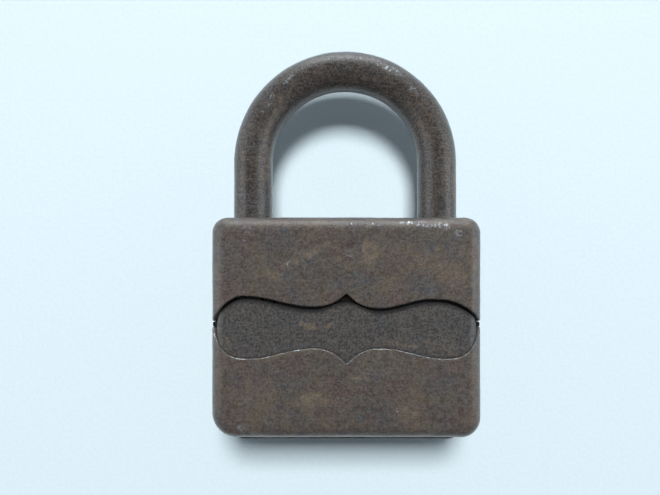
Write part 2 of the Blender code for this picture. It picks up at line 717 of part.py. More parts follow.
def make_shackle_spring():
    base_y = HEEL_FLOOR_Y + LOOSE_GAP
    length = HEEL_Y + HEEL_DRILLING_DEPTH - LOOSE_GAP - base_y
    mean = HEEL_DRILLING_RADIUS - LOOSE_GAP - SHACKLE_SPRING_WIRE
    spring = coil("shackle_spring", (-LEG_X, base_y, MID_Z), (0, 1, 0), mean, SHACKLE_SPRING_WIRE, length, 6)
    finish_piece(spring, SPRING_STEEL)


def make_retaining_pin():
    low, high = CASE_INSET + LOOSE_GAP, BODY_THICKNESS - CASE_INSET - LOOSE_GAP
    r, chamfer = RETAINING_PIN_RADIUS, LOOSE_GAP
    profile = [(0, high), (r - chamfer, high), (r, high - chamfer)]
    profile += [(r, low + chamfer), (r - chamfer, low), (0, low)]
    place = (RETAINING_PIN_X, RETAINING_PIN_Y, 0)
    finish_piece(turned("shackle_retaining_pin", profile, place, (0, 0, 1), PIN_SIDES), BRIGHT_STEEL)


# Bolts and cam


def make_bolt(name, side):
    r, head, chamfer = BOLT_RADIUS, BOLT_HEAD_RADIUS, CONTACT_GAP
    profile = [(0, BOLT_END_X), (r - chamfer, BOLT_END_X), (r, BOLT_END_X - chamfer)]
    profile += [(r, BOLT_SHOULDER_X), (head, BOLT_SHOULDER_X)]
    dome = (head**2 + BOLT_DOME**2) / (2 * BOLT_DOME)
    for share in (1, 0.7, 0.4, 0):
        radius = head * share
        profile.append((radius, BOLT_TIP_X + dome - math.sqrt(dome**2 - radius**2)))
    bolt = turned(name, profile, (0, BOLT_Y, MID_Z), (side, 0, 0), 16)
    finish_piece(bolt, BRIGHT_STEEL)


def make_bolt_spring(name, side):
    base_x = BOLT_SHOULDER_X + LOOSE_GAP
    length = COUNTERBORE_X - LOOSE_GAP - base_x
    mean = BOLT_RADIUS + LOOSE_GAP + BOLT_SPRING_WIRE
    base = (side * base_x, BOLT_Y, MID_Z)
    finish_piece(coil(name, base, (side, 0, 0), mean, BOLT_SPRING_WIRE, length, 4), SPRING_STEEL)


def cam_radius(turn_deg):
    """Radius of the cam this far round from a bolt: an even rise over a quarter turn, then a fall."""
    turn = turn_deg % 180
    if turn <= 90:
        return CAM_LOW_RADIUS + BOLT_THROW * turn / 90
    if turn <= 90 + CAM_FALL_DEG:
        return CAM_HIGH_RADIUS - BOLT_THROW * (turn - 90) / CAM_FALL_DEG
    return CAM_LOW_RADIUS


def make_cam_spindle():
    low_y, high_y = BOLT_Y - CAM_THICKNESS / 2, BOLT_Y + CAM_THICKNESS / 2
    foot_y, lap = PLUG_END_Y + CONTACT_GAP, 0.1 * MM
    top_y = high_y + JOURNAL_LENGTH
    profile = [(0, top_y), (JOURNAL_RADIUS, top_y), (JOURNAL_RADIUS, low_y + lap)]
    profile += [(SPINDLE_RADIUS, low_y + lap), (SPINDLE_RADIUS, foot_y), (0, foot_y)]
    spindle = turned("cam_spindle", profile, (0, 0, MID_Z), (0, 1, 0), 20)
    outline = []
    for turn_deg in range(0, 360, 10):
        radius, turn = cam_radius(turn_deg), math.radians(turn_deg)
        outline.append((radius * math.cos(turn), -radius * math.sin(turn)))
    cam = across_y("cam lobes", outline, low_y, high_y, MID_Z)
    half = TONGUE_WIDTH / 2
    reach = SPINDLE_RADIUS - CONTACT_GAP
    tongue = lock_box("tongue", -half, half, PLUG_END_Y - TONGUE_DEPTH, foot_y + lap, reach)
    finish_piece(join(spindle, cam, tongue), BRIGHT_STEEL)


# Cylinder


def pin_places():
    return [HOUSING_OUTER_Y + FIRST_PIN + PIN_PITCH * i for i in range(len(KEY_PIN_LENGTHS))]


def make_housing():
    housing = along_y("cylinder_housing", HOUSING_OUTER_Y, HOUSING_INNER_Y, HOUSING_RADIUS)
    half_z = TOWER_THICKNESS / 2
    tower_y = HOUSING_OUTER_Y + TOWER_START
    tower = lock_box("tower", 0, TOWER_REACH, tower_y, HOUSING_INNER_Y, half_z)
    lug = lock_box("lug", TOWER_REACH - MM, LUG_REACH, LUG_Y, HOUSING_INNER_Y, half_z)
    join(housing, tower, lug)
    bore_radius = PLUG_RADIUS + PLUG_GAP
    cut(housing, along_y("plug bore", HOUSING_OUTER_Y - MM, HOUSING_INNER_Y + MM, bore_radius))
    for y in pin_places():
        chamber = along_x("chamber", PLUG_RADIUS - MM, TOWER_REACH + MM, y, PIN_RADIUS + PIN_GAP, PIN_SIDES)
        cut(housing, chamber)
    low_y, high_y = cover_span(LOOSE_GAP)
    half = CHAMBER_COVER_WIDTH / 2 + LOOSE_GAP
    cut(housing, lock_box("cover seat", COVER_X - LOOSE_GAP, TOWER_REACH + MM, low_y, high_y, half))
    screw_hole = along_y("lug hole", LUG_Y - MM, HOUSING_INNER_Y + MM, SCREW_RADIUS + PIN_GAP, LEG_X, PIN_SIDES)
    cut(housing, screw_hole)
    finish_piece(housing, BRASS)


def cover_span(grow):
    """Low and high Y of the strip that closes the chambers."""
    places = pin_places()
    margin = PIN_RADIUS + PIN_GAP + grow
    return places[0] - margin, places[-1] + margin


def make_chamber_cover():
    low_y, high_y = cover_span(0)
    end_x = TOWER_REACH - LOOSE_GAP
    cover = lock_box("chamber_cover", COVER_X, end_x, low_y, high_y, CHAMBER_COVER_WIDTH / 2)
    bevelled(cover, LOOSE_GAP, 1)
    finish_piece(cover, BRASS)


def make_plug():
    groove_low, groove_high = HOUSING_INNER_Y + LOOSE_GAP, HOUSING_INNER_Y + 2 * LOOSE_GAP + CLIP_WALL
    flange_y = PLUG_FACE_Y + PLUG_FLANGE_LENGTH
    r, flange, groove = PLUG_RADIUS, PLUG_FLANGE_RADIUS, CLIP_GROOVE_RADIUS
    profile = [(0, PLUG_END_Y), (r, PLUG_END_Y), (r, groove_high), (groove, groove_high)]
    profile += [(groove, groove_low), (r, groove_low), (r, flange_y), (flange, flange_y)]
    profile += [(flange, PLUG_FACE_Y), (0, PLUG_FACE_Y)]
    plug = turned("plug", profile, (0, 0, MID_Z), (0, 1, 0))
    places = pin_places()
    keyway_end = places[-1] + PIN_RADIUS + CONTACT_GAP
    cut(plug, lock_box("keyway", -KEYWAY_LOW, KEYWAY_HIGH, BOTTOM_Y - MM, keyway_end, KEYWAY_WIDTH / 2))
    for y in places:
        hole = along_x("pin hole", -PIN_HOLE_BEYOND_AXIS, r + MM, y, PIN_RADIUS + PIN_GAP, PIN_SIDES)
        cut(plug, hole)
    half, floor_y = TONGUE_WIDTH / 2 + LOOSE_GAP, PLUG_END_Y - TONGUE_DEPTH - LOOSE_GAP
    cut(plug, lock_box("tail slot", -half, half, floor_y, PLUG_END_Y + MM, r + MM))
    finish_piece(plug, BRASS)


def make_plug_clip():
    low_y = HOUSING_INNER_Y + 1.5 * LOOSE_GAP
    inner = CLIP_GROOVE_RADIUS + PLUG_GAP
    outline = arc((0, 0), CLIP_RADIUS, 40, 320, 20) + arc((0, 0), inner, 320, 40, 16)
    clip = across_y("plug_clip", outline, low_y, low_y + CLIP_WALL, MID_Z)
    finish_piece(clip, SPRING_STEEL)


def make_tumblers():
    for number, (y, length) in enumerate(zip(pin_places(), KEY_PIN_LENGTHS), start=1):
        base, r, chamfer = (0, y, MID_Z), PIN_RADIUS, PIN_GAP
        tip = SHEAR_X - length
        profile = [(0, SHEAR_X), (r - chamfer, SHEAR_X), (r, SHEAR_X - chamfer)]
        profile += [(r, tip + PIN_TIP), (r / 3, tip), (0, tip)]
        finish_piece(turned(f"key_pin_{number}", profile, base, (1, 0, 0), PIN_SIDES), BRASS)
        end = DRIVER_X + DRIVER_PIN_LENGTH
        profile = [(0, end), (r, end), (r, DRIVER_X + chamfer), (r - chamfer, DRIVER_X), (0, DRIVER_X)]
        finish_piece(turned(f"driver_pin_{number}", profile, base, (1, 0, 0), PIN_SIDES), BRIGHT_STEEL)
        start = end + PIN_GAP
        mean, span = r - PIN_SPRING_WIRE, COVER_X - PIN_GAP - start
        spring = coil(f"pin_spring_{number}", (start, y, MID_Z), (1, 0, 0), mean, PIN_SPRING_WIRE, span, 3)
        finish_piece(spring, SPRING_STEEL)


def make_cylinder_screw():
    under_head = TOE_FLOOR_Y + CONTACT_GAP
    top, foot = under_head + SCREW_HEAD, LUG_Y + CONTACT_GAP
    profile = [(0, top), (SCREW_HEAD_RADIUS, top), (SCREW_HEAD_RADIUS, under_head)]
    profile += [(SCREW_RADIUS, under_head), (SCREW_RADIUS, foot), (0, foot)]
    screw = turned("cylinder_screw", profile, (LEG_X, 0, MID_Z), (0, 1, 0), PIN_SIDES)
    low_x, high_x = LEG_X - 2 * SCREW_HEAD_RADIUS, LEG_X + 2 * SCREW_HEAD_RADIUS
    cut(screw, lock_box("screw slot", low_x, high_x, top - SCREW_SLOT, top + MM, SCREW_SLOT / 2))
    finish_piece(screw, BRIGHT_STEEL)


make_upper_shell()
make_lower_shell()
make_waist_plate("front_waist_plate", MID_Z, BODY_THICKNESS + MM)
make_waist_plate("rear_waist_plate", -MM, MID_Z)
make_keyhole_plate()
make_plate_rivets()
make_case()
make_case_rivets()
make_shackle()
make_shackle_spring()
make_retaining_pin()
for side_name, side_sign in (("toe", 1), ("heel", -1)):
    make_bolt(f"{side_name}_bolt", side_sign)
    make_bolt_spring(f"{side_name}_bolt_spring", side_sign)
make_cam_spindle()
make_housing()
make_chamber_cover()
make_plug()
make_plug_clip()
make_tumblers()
make_cylinder_screw()
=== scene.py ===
"""Looks for the steel padlock, over the CAD frame.

The shells, the waist plates, the keyhole plate with its rivets, the shackle and the bolt springs are drawn
again in finer shape. Every other piece keeps its CAD shape and gets a finish.

The lock lies on its back. +X runs across the body, +Y from the keyhole end towards the shackle, and +Z out
of the front face. Lengths are metres; MM turns millimetres into them.
"""

import math
from collections import namedtuple

import bpy
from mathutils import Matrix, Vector, noise


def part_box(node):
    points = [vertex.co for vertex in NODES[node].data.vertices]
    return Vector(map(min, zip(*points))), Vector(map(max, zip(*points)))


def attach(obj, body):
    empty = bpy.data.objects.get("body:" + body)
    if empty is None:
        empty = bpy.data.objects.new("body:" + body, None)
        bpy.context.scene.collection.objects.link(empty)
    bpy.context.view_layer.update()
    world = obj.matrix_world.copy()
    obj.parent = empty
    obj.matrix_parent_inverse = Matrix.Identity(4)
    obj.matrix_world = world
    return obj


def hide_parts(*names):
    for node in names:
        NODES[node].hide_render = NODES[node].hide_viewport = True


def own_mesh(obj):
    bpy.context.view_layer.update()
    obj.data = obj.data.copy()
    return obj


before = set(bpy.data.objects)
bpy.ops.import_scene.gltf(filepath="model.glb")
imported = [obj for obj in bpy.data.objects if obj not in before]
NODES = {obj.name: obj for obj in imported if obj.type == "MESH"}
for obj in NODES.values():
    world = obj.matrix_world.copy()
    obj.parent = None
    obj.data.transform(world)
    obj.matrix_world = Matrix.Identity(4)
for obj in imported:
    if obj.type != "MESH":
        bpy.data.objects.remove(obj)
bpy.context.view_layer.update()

MM = 0.001

# Places taken from the frame
SHELL_BOTTOM_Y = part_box("lower_shell")[0].y
WAIST_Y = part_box("lower_shell")[1].y
HALF_WIDTH, TOP_Y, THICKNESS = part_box("upper_shell")[1]
MID_Z = THICKNESS / 2
PLATE_LOW, PLATE_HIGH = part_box("keyhole_plate")
RIVET_PLACES = [(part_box(rivet)[0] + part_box(rivet)[1]) / 2 for rivet in ("plate_rivet_1", "plate_rivet_2")]
HEEL_LOW, BAR_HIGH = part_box("shackle")
BAR_RADIUS = (BAR_HIGH.z - HEEL_LOW.z) / 2
LEG_X = BAR_HIGH.x - BAR_RADIUS
BOW_Y = BAR_HIGH.y - BAR_RADIUS - LEG_X
HEEL_Y = HEEL_LOW.y
BOLT_Y = (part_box("toe_bolt")[0].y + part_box("toe_bolt")[1].y) / 2

# Shells
EDGE_ROUNDING = 2.8 * MM
SHELL_WALL = 1.1 * MM
# Radii of the body's corners in plan, by the sides of X and Y that they are on
CORNER_RADII = {(-1, 1): 3.0 * MM, (1, 1): 3.0 * MM, (-1, -1): 4.9 * MM, (1, -1): 3.9 * MM}
RIM_ROUNDING = 0.28 * MM
RIM_BEVEL = 0.1 * MM  # on the inside of the rim
RIM_WAVE_DEPTH = 0.06 * MM
RIM_WAVE_LENGTH = 1.3 * MM
LEG_HOLE_RADIUS = BAR_RADIUS + 0.25 * MM
PLUG_HOLE_RADIUS = 6.1 * MM
TOP_CUT_DEPTH = 3 * MM  # of the cutters for the leg holes
BOTTOM_CUT_DEPTH = 4 * MM  # of the cutters for the plug hole and the rivet holes
CUT_PAST = 1 * MM  # how far a cutter stands out of the face that it cuts
LEG_HOLE_ROUNDING = 0.2 * MM
BOTTOM_HOLE_ROUNDING = 0.1 * MM

# Window between the shells. Heights are from the waist line; a ScrollEdge runs from a peak at the middle
# down to a valley, up to a swell, and round a lobe to the side of the body.
ScrollEdge = namedtuple("ScrollEdge", "peak valley valley_x swell lobe_width end lobe_power")
UPPER_LEFT = ScrollEdge(6.6 * MM, 4.1 * MM, 6.2 * MM, 6.1 * MM, 6.3 * MM, 1.1 * MM, 1.9)
UPPER_RIGHT = ScrollEdge(6.6 * MM, 3.8 * MM, 6.0 * MM, 5.5 * MM, 9.6 * MM, 1.1 * MM, 2.5)
LOWER_BOTH = ScrollEdge(6.55 * MM, 3.6 * MM, 6.3 * MM, 5.5 * MM, 7.2 * MM, -0.15 * MM, 3.0)
SCROLLS = {1: (UPPER_LEFT, UPPER_RIGHT), -1: (LOWER_BOTH, LOWER_BOTH)}
PEAK_POWER = 2.5

# Waist plates, in the window
BAND_RECESS = 0.45 * MM
BAND_WALL = 0.7 * MM
BAND_HUMP = 1.4 * MM  # under the upper shell's peak
BAND_UPPER_GAP = 0.7 * MM
BAND_LOWER_GAP = 0.06 * MM
BAND_END_GAP = 1.25 * MM
BAND_END_RISE = 0.2 * MM  # from the waist line to the tips of the plate
BAND_UPPER_ROUND = 6.0 * MM  # lengths of the rounded ends
BAND_LOWER_ROUND = 2.7 * MM
BAND_EDGE_FALL = 0.07 * MM  # its edges are rounded over by this much
BAND_NARROWEST = 0.1 * MM
BAND_TIP = 0.02 * MM  # left off the pointed tips

# Keyhole plate and its rivets
PLATE_ROUNDING = 0.25 * MM
PLATE_CORNER = 2.0 * MM
PLATE_SEAT_GAP = 0.2 * MM
PLATE_HOLE_ROUNDING = 0.15 * MM
RIVET_HOLE_RADIUS = 1.2 * MM
COUNTERSINK_RADIUS = 1.9 * MM
RIVET_RADIUS = 1.0 * MM
RIVET_HEAD = ((1.7, -0.12), (1.6, -0.05), (1.2, -0.02), (0.6, 0.0))  # radius and height, in millimetres

# Shackle
TOE_LENGTH = 12.0 * MM  # inside the body
LEG_CHAMFER = 0.8 * MM
HEEL_HEAD = 3.0 * MM
HEEL_NECK = 3.0 * MM
HEEL_FLAT_DEPTH = 1.2 * MM
HEEL_FLAT_LENGTH = 16.0 * MM
HEEL_DRILLING_RADIUS = 1.95 * MM
HEEL_DRILLING_DEPTH = 9.0 * MM
BOLT_POCKET_RADIUS = 2.5 * MM
BOLT_POCKET_DEPTH = 2.6 * MM
MOUTH_ROUNDING = 0.3 * MM  # of the bolt pockets and the drilling
FLAT_CUT = 3 * MM  # width of the flat's cutter

# Bolt springs
SPRING_WIRE = 0.25 * MM  # radius of the wire
SPRING_TURNS = 4

# Shallow hollows of old, handled metal: how far across and how deep
SHELL_HOLLOWS = ((9 * MM, 0.10 * MM), (2.2 * MM, 0.035 * MM))
BAND_HOLLOWS = ((7 * MM, 0.09 * MM), (2 * MM, 0.03 * MM))
BAR_HOLLOWS = ((6 * MM, 0.07 * MM), (1.6 * MM, 0.03 * MM))
HOLLOW_CONTRAST = 0.7

WELD_REACH = 0.002 * MM

# What is marked on the points of a browned piece, for its finish to read, each a share from 0 to 1:
# the bright rim of a shell (worn metal and a painted highlight), rubbed metal (on the bow's top also a
# painted highlight), rust stain, old blueing, and painted shade
MARKS = ("rim", "rub_and_highlight", "stain", "slate", "painted_shade")
SPOT_END = 1.6  # where a spot has faded out, in its half sizes
SPOT_FADE = 1.2  # width of its soft border, in its half sizes
# The bright rim is worn metal, and a painted highlight where the rim faces the light
RIM_BRIGHT_FULL = 0.08 * MM  # from the rim
RIM_BRIGHT_END = 0.26 * MM
INSIDE_SHADE = (0.3 * MM, 0.8 * MM)  # depths in a shell's sheet where the painted shade of its inside starts and is full
GAP_SHADE = (0.1 * MM, 0.8 * MM)  # distances from a waist plate's upper edge where the painted shade under the upper shell's rim is full and ends
EDGE_RUB = 0.42  # on the body's rounded edges
EDGE_FLATNESS = 0.74  # largest part of the facing, where an edge is rubbed most
FACE_FLATNESS = 0.97  # and where the rubbing ends
SIDE_FACING = -0.2  # spots end where the skin faces further down than this
BAR_TOP_FACING = 0.1  # the bar's rub marks end where it faces further down than this
BAR_UNDER_RUB = 0.15

# Mesh spacing
SHEET_STEP = 0.4 * MM
BAR_STEP = 0.5 * MM
BAR_SIDES = 56
HOLE_SIDES = 72
RIVET_SIDES = 40
TURN_STEPS = 24
WIRE_SIDES = 10
END_ROWS = (7.5 * MM, 5.5 * MM, 4.0 * MM, 3.0 * MM)  # how far rows are drawn in over a shell's closed end
ROUNDING_STEPS = 6
INNER_STEPS = 20
BAND_COLUMNS = 220
BAND_ROWS = 24
QUARTER_TURN = [math.radians(90 * step / 4) for step in range(5)]  # steps over a small rounded edge


# Shapes


def new_piece(name, points, faces):
    mesh = bpy.data.meshes.new(name)
    mesh.from_pydata(points, [], faces)
    obj = bpy.data.objects.new(name, mesh)
    bpy.context.scene.collection.objects.link(obj)
    return obj


def woven_faces(rows, columns, wrap_rows=False):
    """Four-sided faces between neighbouring rows of points. Each row closes on itself."""
    faces = []
    for row in range(rows if wrap_rows else rows - 1):
        here, above = row * columns, (row + 1) % rows * columns
        for column in range(columns):
            beside = (column + 1) % columns
            faces.append((here + column, here + beside, above + beside, above + column))
    return faces


def closed_rings(name, rings):
    """A solid skinned over rings of equally many points, with a flat end at each end."""
    columns = len(rings[0])
    points = [point for ring in rings for point in ring]
    faces = woven_faces(len(rings), columns)
    faces.append(tuple(reversed(range(columns))))
    faces.append(tuple(range((len(rings) - 1) * columns, len(rings) * columns)))
    return new_piece(name, points, faces)


def turned(name, profile, base, direction, sides=HOLE_SIDES):
    """A turned solid. The profile's (radius, height) pairs run from one flat end to the other."""
    turn = Vector(direction).to_track_quat("Z", "Y")
    rings = []
    for radius, height in profile:
        ring = []
        for side in range(sides):
            angle = 2 * math.pi * side / sides
            spoke = Vector((radius * math.cos(angle), radius * math.sin(angle), height))
            ring.append(Vector(base) + turn @ spoke)
        rings.append(ring)
    return closed_rings(name, rings)


def hole(radius, rounding, base, direction, depth):
    """Cutter for a round hole with a rounded mouth at base. Direction points out of the mouth."""
    profile = [(radius, -depth)]
    for angle in QUARTER_TURN:
        profile.append((radius + rounding * (1 - math.cos(angle)), rounding * (math.sin(angle) - 1)))
    profile.append((radius + rounding, CUT_PAST))
    return turned("hole", profile, base, direction)


def block(low, high):
    xs, ys, zs = zip(low, high)
    rings = [[(xs[0], ys[0], z), (xs[1], ys[0], z), (xs[1], ys[1], z), (xs[0], ys[1], z)] for z in zs]
    return closed_rings("block", rings)


def carve(obj, *cutters):
    """Cuts each cutter out of a piece, for good."""
    for cutter in cutters:
        modifier = obj.modifiers.new("cut", "BOOLEAN")
        modifier.object = cutter
    depsgraph = bpy.context.evaluated_depsgraph_get()
    mesh = bpy.data.meshes.new_from_object(obj.evaluated_get(depsgraph), depsgraph=depsgraph)
    obj.modifiers.clear()
    obj.data = mesh
    for cutter in cutters:
        bpy.data.objects.remove(cutter)


def weld(obj):
    """Joins points that fell together, and drops the faces that closed up."""
    modifier = obj.modifiers.new("weld", "WELD")
    modifier.merge_threshold = WELD_REACH
    carve(obj)


def mark(obj, shares):
    """Keeps each point's shares, in the order of MARKS, for the finish to read."""
    for mark_name, values in zip(MARKS, zip(*shares)):
        obj.data.attributes.new(mark_name, "FLOAT", "POINT").data.foreach_set("value", values)


def finish_piece(obj, finish, body, slot, *replaced, sharp_deg=40):
    obj.data.materials.clear()
    obj.data.materials.append(finish)
    obj.data.shade_smooth()
    obj.data.set_sharp_from_angle(angle=math.radians(sharp_deg))
    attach(obj, body)
    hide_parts(*replaced)


def eased(value, low, high):
    """0 below low, 1 above high, and an even curve between them."""
    share = min(1.0, max(0.0, (value - low) / (high - low)))
    return share * share * (3 - 2 * share)


def unevenness(place, hollows):
    """How deep the shallow hollows are at a place."""
    total = 0.0
    for size, depth in hollows:
        total += depth * min(1.0, max(0.0, 0.5 + HOLLOW_CONTRAST * noise.noise(place / size)))
    return total


# A patch of stain or rubbing: its place and half sizes in millimetres, its turn, and how strong it is.
Spot = namedtuple("Spot", "x y half_x half_y turn_deg strength")


def spot_share(spots, x, y):
    """How much of any spot covers a place."""
    most = 0.0
    for spot in spots:
        turn = math.radians(spot.turn_deg)
        across, along = x / MM - spot.x, y / MM - spot.y
        u = (across * math.cos(turn) + along * math.sin(turn)) / spot.half_x
        v = (along * math.cos(turn) - across * math.sin(turn)) / spot.half_y
        most = max(most, spot.strength * eased(SPOT_END - math.hypot(u, v), 0, SPOT_FADE))
    return most


# Shells and waist plates


def on_body(x, y, z, inset):
    """The body's skin nearest to a point of the box round it, moved in by inset, and the way it faces."""
    plan = CORNER_RADII[(1 if x > 0 else -1, 1 if y > WAIST_Y else -1)]
    core_x = min(max(x, plan - HALF_WIDTH), HALF_WIDTH - plan)
    core_y = min(max(y, SHELL_BOTTOM_Y + plan), TOP_Y - plan)
    reach = math.hypot(x - core_x, y - core_y)
    limit = plan - EDGE_ROUNDING
    if reach > limit:
        core_x += (x - core_x) * limit / reach
        core_y += (y - core_y) * limit / reach
    else:
        core_x, core_y = x, y
    core_z = min(max(z, EDGE_ROUNDING), THICKNESS - EDGE_ROUNDING)
    facing = Vector((x - core_x, y - core_y, z - core_z)).normalized()
    return Vector((core_x, core_y, core_z)) + facing * (EDGE_ROUNDING - inset), facing


def scroll_height(side, x):
    """Distance of a shell's edge from the waist line. Side is 1 for the upper shell, -1 for the lower."""
    edge = SCROLLS[side][x > 0]
    x = min(abs(x), HALF_WIDTH)
    swell_x = HALF_WIDTH - edge.lobe_width
    if x < edge.valley_x:
        return edge.valley + (edge.peak - edge.valley) * (1 - x / edge.valley_x) ** PEAK_POWER
    if x < swell_x:
        share = (x - edge.valley_x) / (swell_x - edge.valley_x)
        return edge.valley + (edge.swell - edge.valley) * (1 - math.cos(math.pi * share)) / 2
    share = (x - swell_x) / edge.lobe_width
    return edge.end + (edge.swell - edge.end) * (1 - share**edge.lobe_power)


def box_perimeter():
    """Points round the middle section of the box round the body, as (x, z)."""
    wide, deep = round(2 * HALF_WIDTH / SHEET_STEP), round(THICKNESS / SHEET_STEP)
    front = [(HALF_WIDTH * (1 - 2 * i / wide), THICKNESS) for i in range(wide)]
    left = [(-HALF_WIDTH, THICKNESS * (1 - i / deep)) for i in range(deep)]
    back = [(HALF_WIDTH * (2 * i / wide - 1), 0.0) for i in range(wide)]
    right = [(HALF_WIDTH, THICKNESS * i / deep) for i in range(deep)]
    return front + left + back + right


# A row of points round a drawn shell: how far it is drawn in over the closed end, how far up the wall it is
# as a share, its distance from the rim, and its depth in the sheet.
SheetRow = namedtuple("SheetRow", "drawn_in wall from_rim depth")


def sheet_rows(height):
    """Rows from the middle of the closed end, down the outside, round the rim, and back up the inside."""
    ends = [MID_Z, *END_ROWS]
    ends += [EDGE_ROUNDING * (1 - i / ROUNDING_STEPS) for i in range(ROUNDING_STEPS)]
    steps = round(height / SHEET_STEP)
    rows = [SheetRow(drawn, 1.0, RIM_ROUNDING, 0.0) for drawn in ends]
    rows += [SheetRow(0.0, 1 - i / steps, RIM_ROUNDING, 0.0) for i in range(steps)]
    for angle in QUARTER_TURN:
        from_rim, depth = RIM_ROUNDING * (1 - math.sin(angle)), RIM_ROUNDING * (1 - math.cos(angle))
        rows.append(SheetRow(0.0, 0.0, from_rim, depth))
    rows.append(SheetRow(0.0, 0.0, 0.0, SHELL_WALL - RIM_BEVEL))
    rows.append(SheetRow(0.0, 0.0, RIM_BEVEL, SHELL_WALL))
    rows += [SheetRow(0.0, (i + 1) / INNER_STEPS, RIM_BEVEL, SHELL_WALL) for i in range(INNER_STEPS)]
    rows += [SheetRow(drawn, 1.0, RIM_BEVEL, SHELL_WALL) for drawn in reversed(ends)]
    return rows


def drawn_shell(name, side, rim_wear_and_highlight, stains, rubs, slates):
    """Half of the body's skin, drawn from sheet. Side is 1 at the shackle end and -1 at the keyhole end."""
    end_y = TOP_Y if side > 0 else SHELL_BOTTOM_Y
    perimeter = box_perimeter()
    rims = []
    for x, z in perimeter:
        plan_x = on_body(x, WAIST_Y, z, 0)[0].x
        rims.append(WAIST_Y + side * scroll_height(side, plan_x))
    rows = sheet_rows(abs(end_y - WAIST_Y))
    points = []
    shares = []
    for row in rows:
        for (x, z), rim in zip(perimeter, rims):
            rim += side * RIM_WAVE_DEPTH * noise.noise(Vector((x, z, side)) / RIM_WAVE_LENGTH)
            start = rim + side * row.from_rim
            y = start + row.wall * (end_y - start)
            x_in = x * (1 - row.drawn_in / HALF_WIDTH)
            z_in = MID_Z + (z - MID_Z) * (1 - row.drawn_in / MID_Z)
            hollow = unevenness(Vector((x_in, y, z_in)), SHELL_HOLLOWS)
            point, facing = on_body(x_in, y, z_in, row.depth + hollow)
            points.append(point)
            from_rim = abs(y - rim) + row.depth / 2
            # the rim's brightness: worn metal and a painted highlight
            rim_share = rim_wear_and_highlight * (1 - eased(from_rim, RIM_BRIGHT_FULL, RIM_BRIGHT_END))
            flatness = max(abs(facing.x), abs(facing.y), abs(facing.z))
            edge_rub = EDGE_RUB * (1 - eased(flatness, EDGE_FLATNESS, FACE_FLATNESS))
            rub_and_highlight = stain = slate = 0.0
            if facing.z > SIDE_FACING:
                rub_and_highlight = spot_share(rubs, point.x, point.y)
                stain = spot_share(stains, point.x, point.y)
                slate = spot_share(slates, point.x, point.y)
            # painted shade on the inside of the sheet
            inside = eased(row.depth, *INSIDE_SHADE)
            shares.append((rim_share, max(edge_rub, rub_and_highlight), stain, slate, inside))
    faces = woven_faces(len(rows), len(perimeter))
    if side < 0:
        faces = [tuple(reversed(face)) for face in faces]
    shell = new_piece(name, points, faces)
    mark(shell, shares)
    weld(shell)
    return shell


UPPER_STAINS = [
    Spot(-7.5, -3.2, 6.0, 0.9, 28, 0.9),
    Spot(-13.5, -6.5, 3.0, 1.6, -20, 0.6),
    Spot(4.2, -2.4, 1.5, 2.6, 10, 1.0),
    Spot(14.0, -3.5, 6.5, 3.5, -8, 0.55),
    Spot(20.0, -7.0, 3.2, 2.6, -30, 0.75),
    Spot(9.0, -8.0, 3.5, 2.0, 20, 0.6),
]
UPPER_RUBS = [
    Spot(-18.4, 1.7, 1.3, 1.0, 0, 1.0),
    Spot(-18.9, -0.6, 0.7, 0.9, 20, 0.75),
    Spot(3.0, 2.6, 6.0, 0.5, 0, 0.62),
    Spot(14.5, 2.7, 5.5, 0.8, -3, 0.85),
    Spot(18.4, 2.2, 1.3, 0.9, 0, 1.0),
    Spot(20.6, 1.1, 1.2, 0.9, 0, 1.0),
    Spot(1.0, -2.9, 1.8, 1.0, -30, 0.66),
    Spot(-10.8, -4.6, 0.9, 0.6, 30, 0.62),
]
UPPER_SLATES = [
    Spot(-13.0, 0.0, 4.5, 2.4, 0, 0.8),
    Spot(-20.5, -3.0, 2.2, 3.2, 0, 0.7),
    Spot(1.0, -8.0, 4.5, 1.8, 10, 0.9),
    Spot(15.5, -9.0, 4.0, 1.6, 0, 0.8),
]
LOWER_STAINS = [
    Spot(-6.0, -30.0, 4.4, 1.5, 0, 0.95),
    Spot(-16.5, -29.5, 4.2, 4.6, 10, 0.5),
    Spot(11.5, -32.6, 3.0, 3.2, 0, 0.6),
    Spot(4.0, -25.5, 4.0, 1.6, 20, 0.6),
]
LOWER_RUBS = [
    Spot(-19.4, -35.0, 0.9, 1.0, 0, 1.0),
    Spot(-16.8, -36.0, 1.2, 0.5, 0, 0.75),
    Spot(16.6, -31.9, 0.8, 0.6, 0, 0.6),
    Spot(17.0, -35.6, 2.4, 0.7, 0, 0.55),
    Spot(9.3, -31.6, 0.4, 0.7, 20, 0.7),
]
LOWER_SLATES = [
    Spot(3.0, -30.5, 3.6, 3.0, 0, 0.8),
    Spot(17.5, -26.5, 3.5, 2.4, 0, 0.8),
    Spot(18.0, -33.0, 2.8, 2.6, 0, 0.7),
    Spot(-9.5, -26.5, 3.5, 2.0, 0, 0.6),
]
BAND_STAINS = [
    Spot(-7.0, -16.2, 2.0, 0.7, -14, 1.0),
    Spot(-2.8, -16.0, 1.7, 0.45, 18, 0.85),
    Spot(13.0, -19.6, 8.0, 1.0, -4, 0.6),
    Spot(-22.6, -19.5, 1.0, 1.4, 0, 0.7),
]
BAND_RUBS = [
    Spot(3.6, -17.0, 0.55, 0.12, -20, 1.0),
    Spot(-19.6, -14.8, 1.9, 0.10, -42, 0.8),
    Spot(-18.2, -15.4, 1.5, 0.10, 50, 0.66),
]
BAND_SLATES = [
    Spot(0.0, -13.6, 3.5, 0.8, 0, 0.7),
    Spot(-8.0, -20.0, 8.0, 1.2, 0, 0.6),
]


def plate_skin_z(x, inset):
    """Height of the body's front skin at x, clear of its ends, moved in by inset."""
    past = max(0.0, abs(x) - (HALF_WIDTH - EDGE_ROUNDING))
    return THICKNESS - EDGE_ROUNDING + math.sqrt(max(0.0, (EDGE_ROUNDING - inset) ** 2 - past**2))


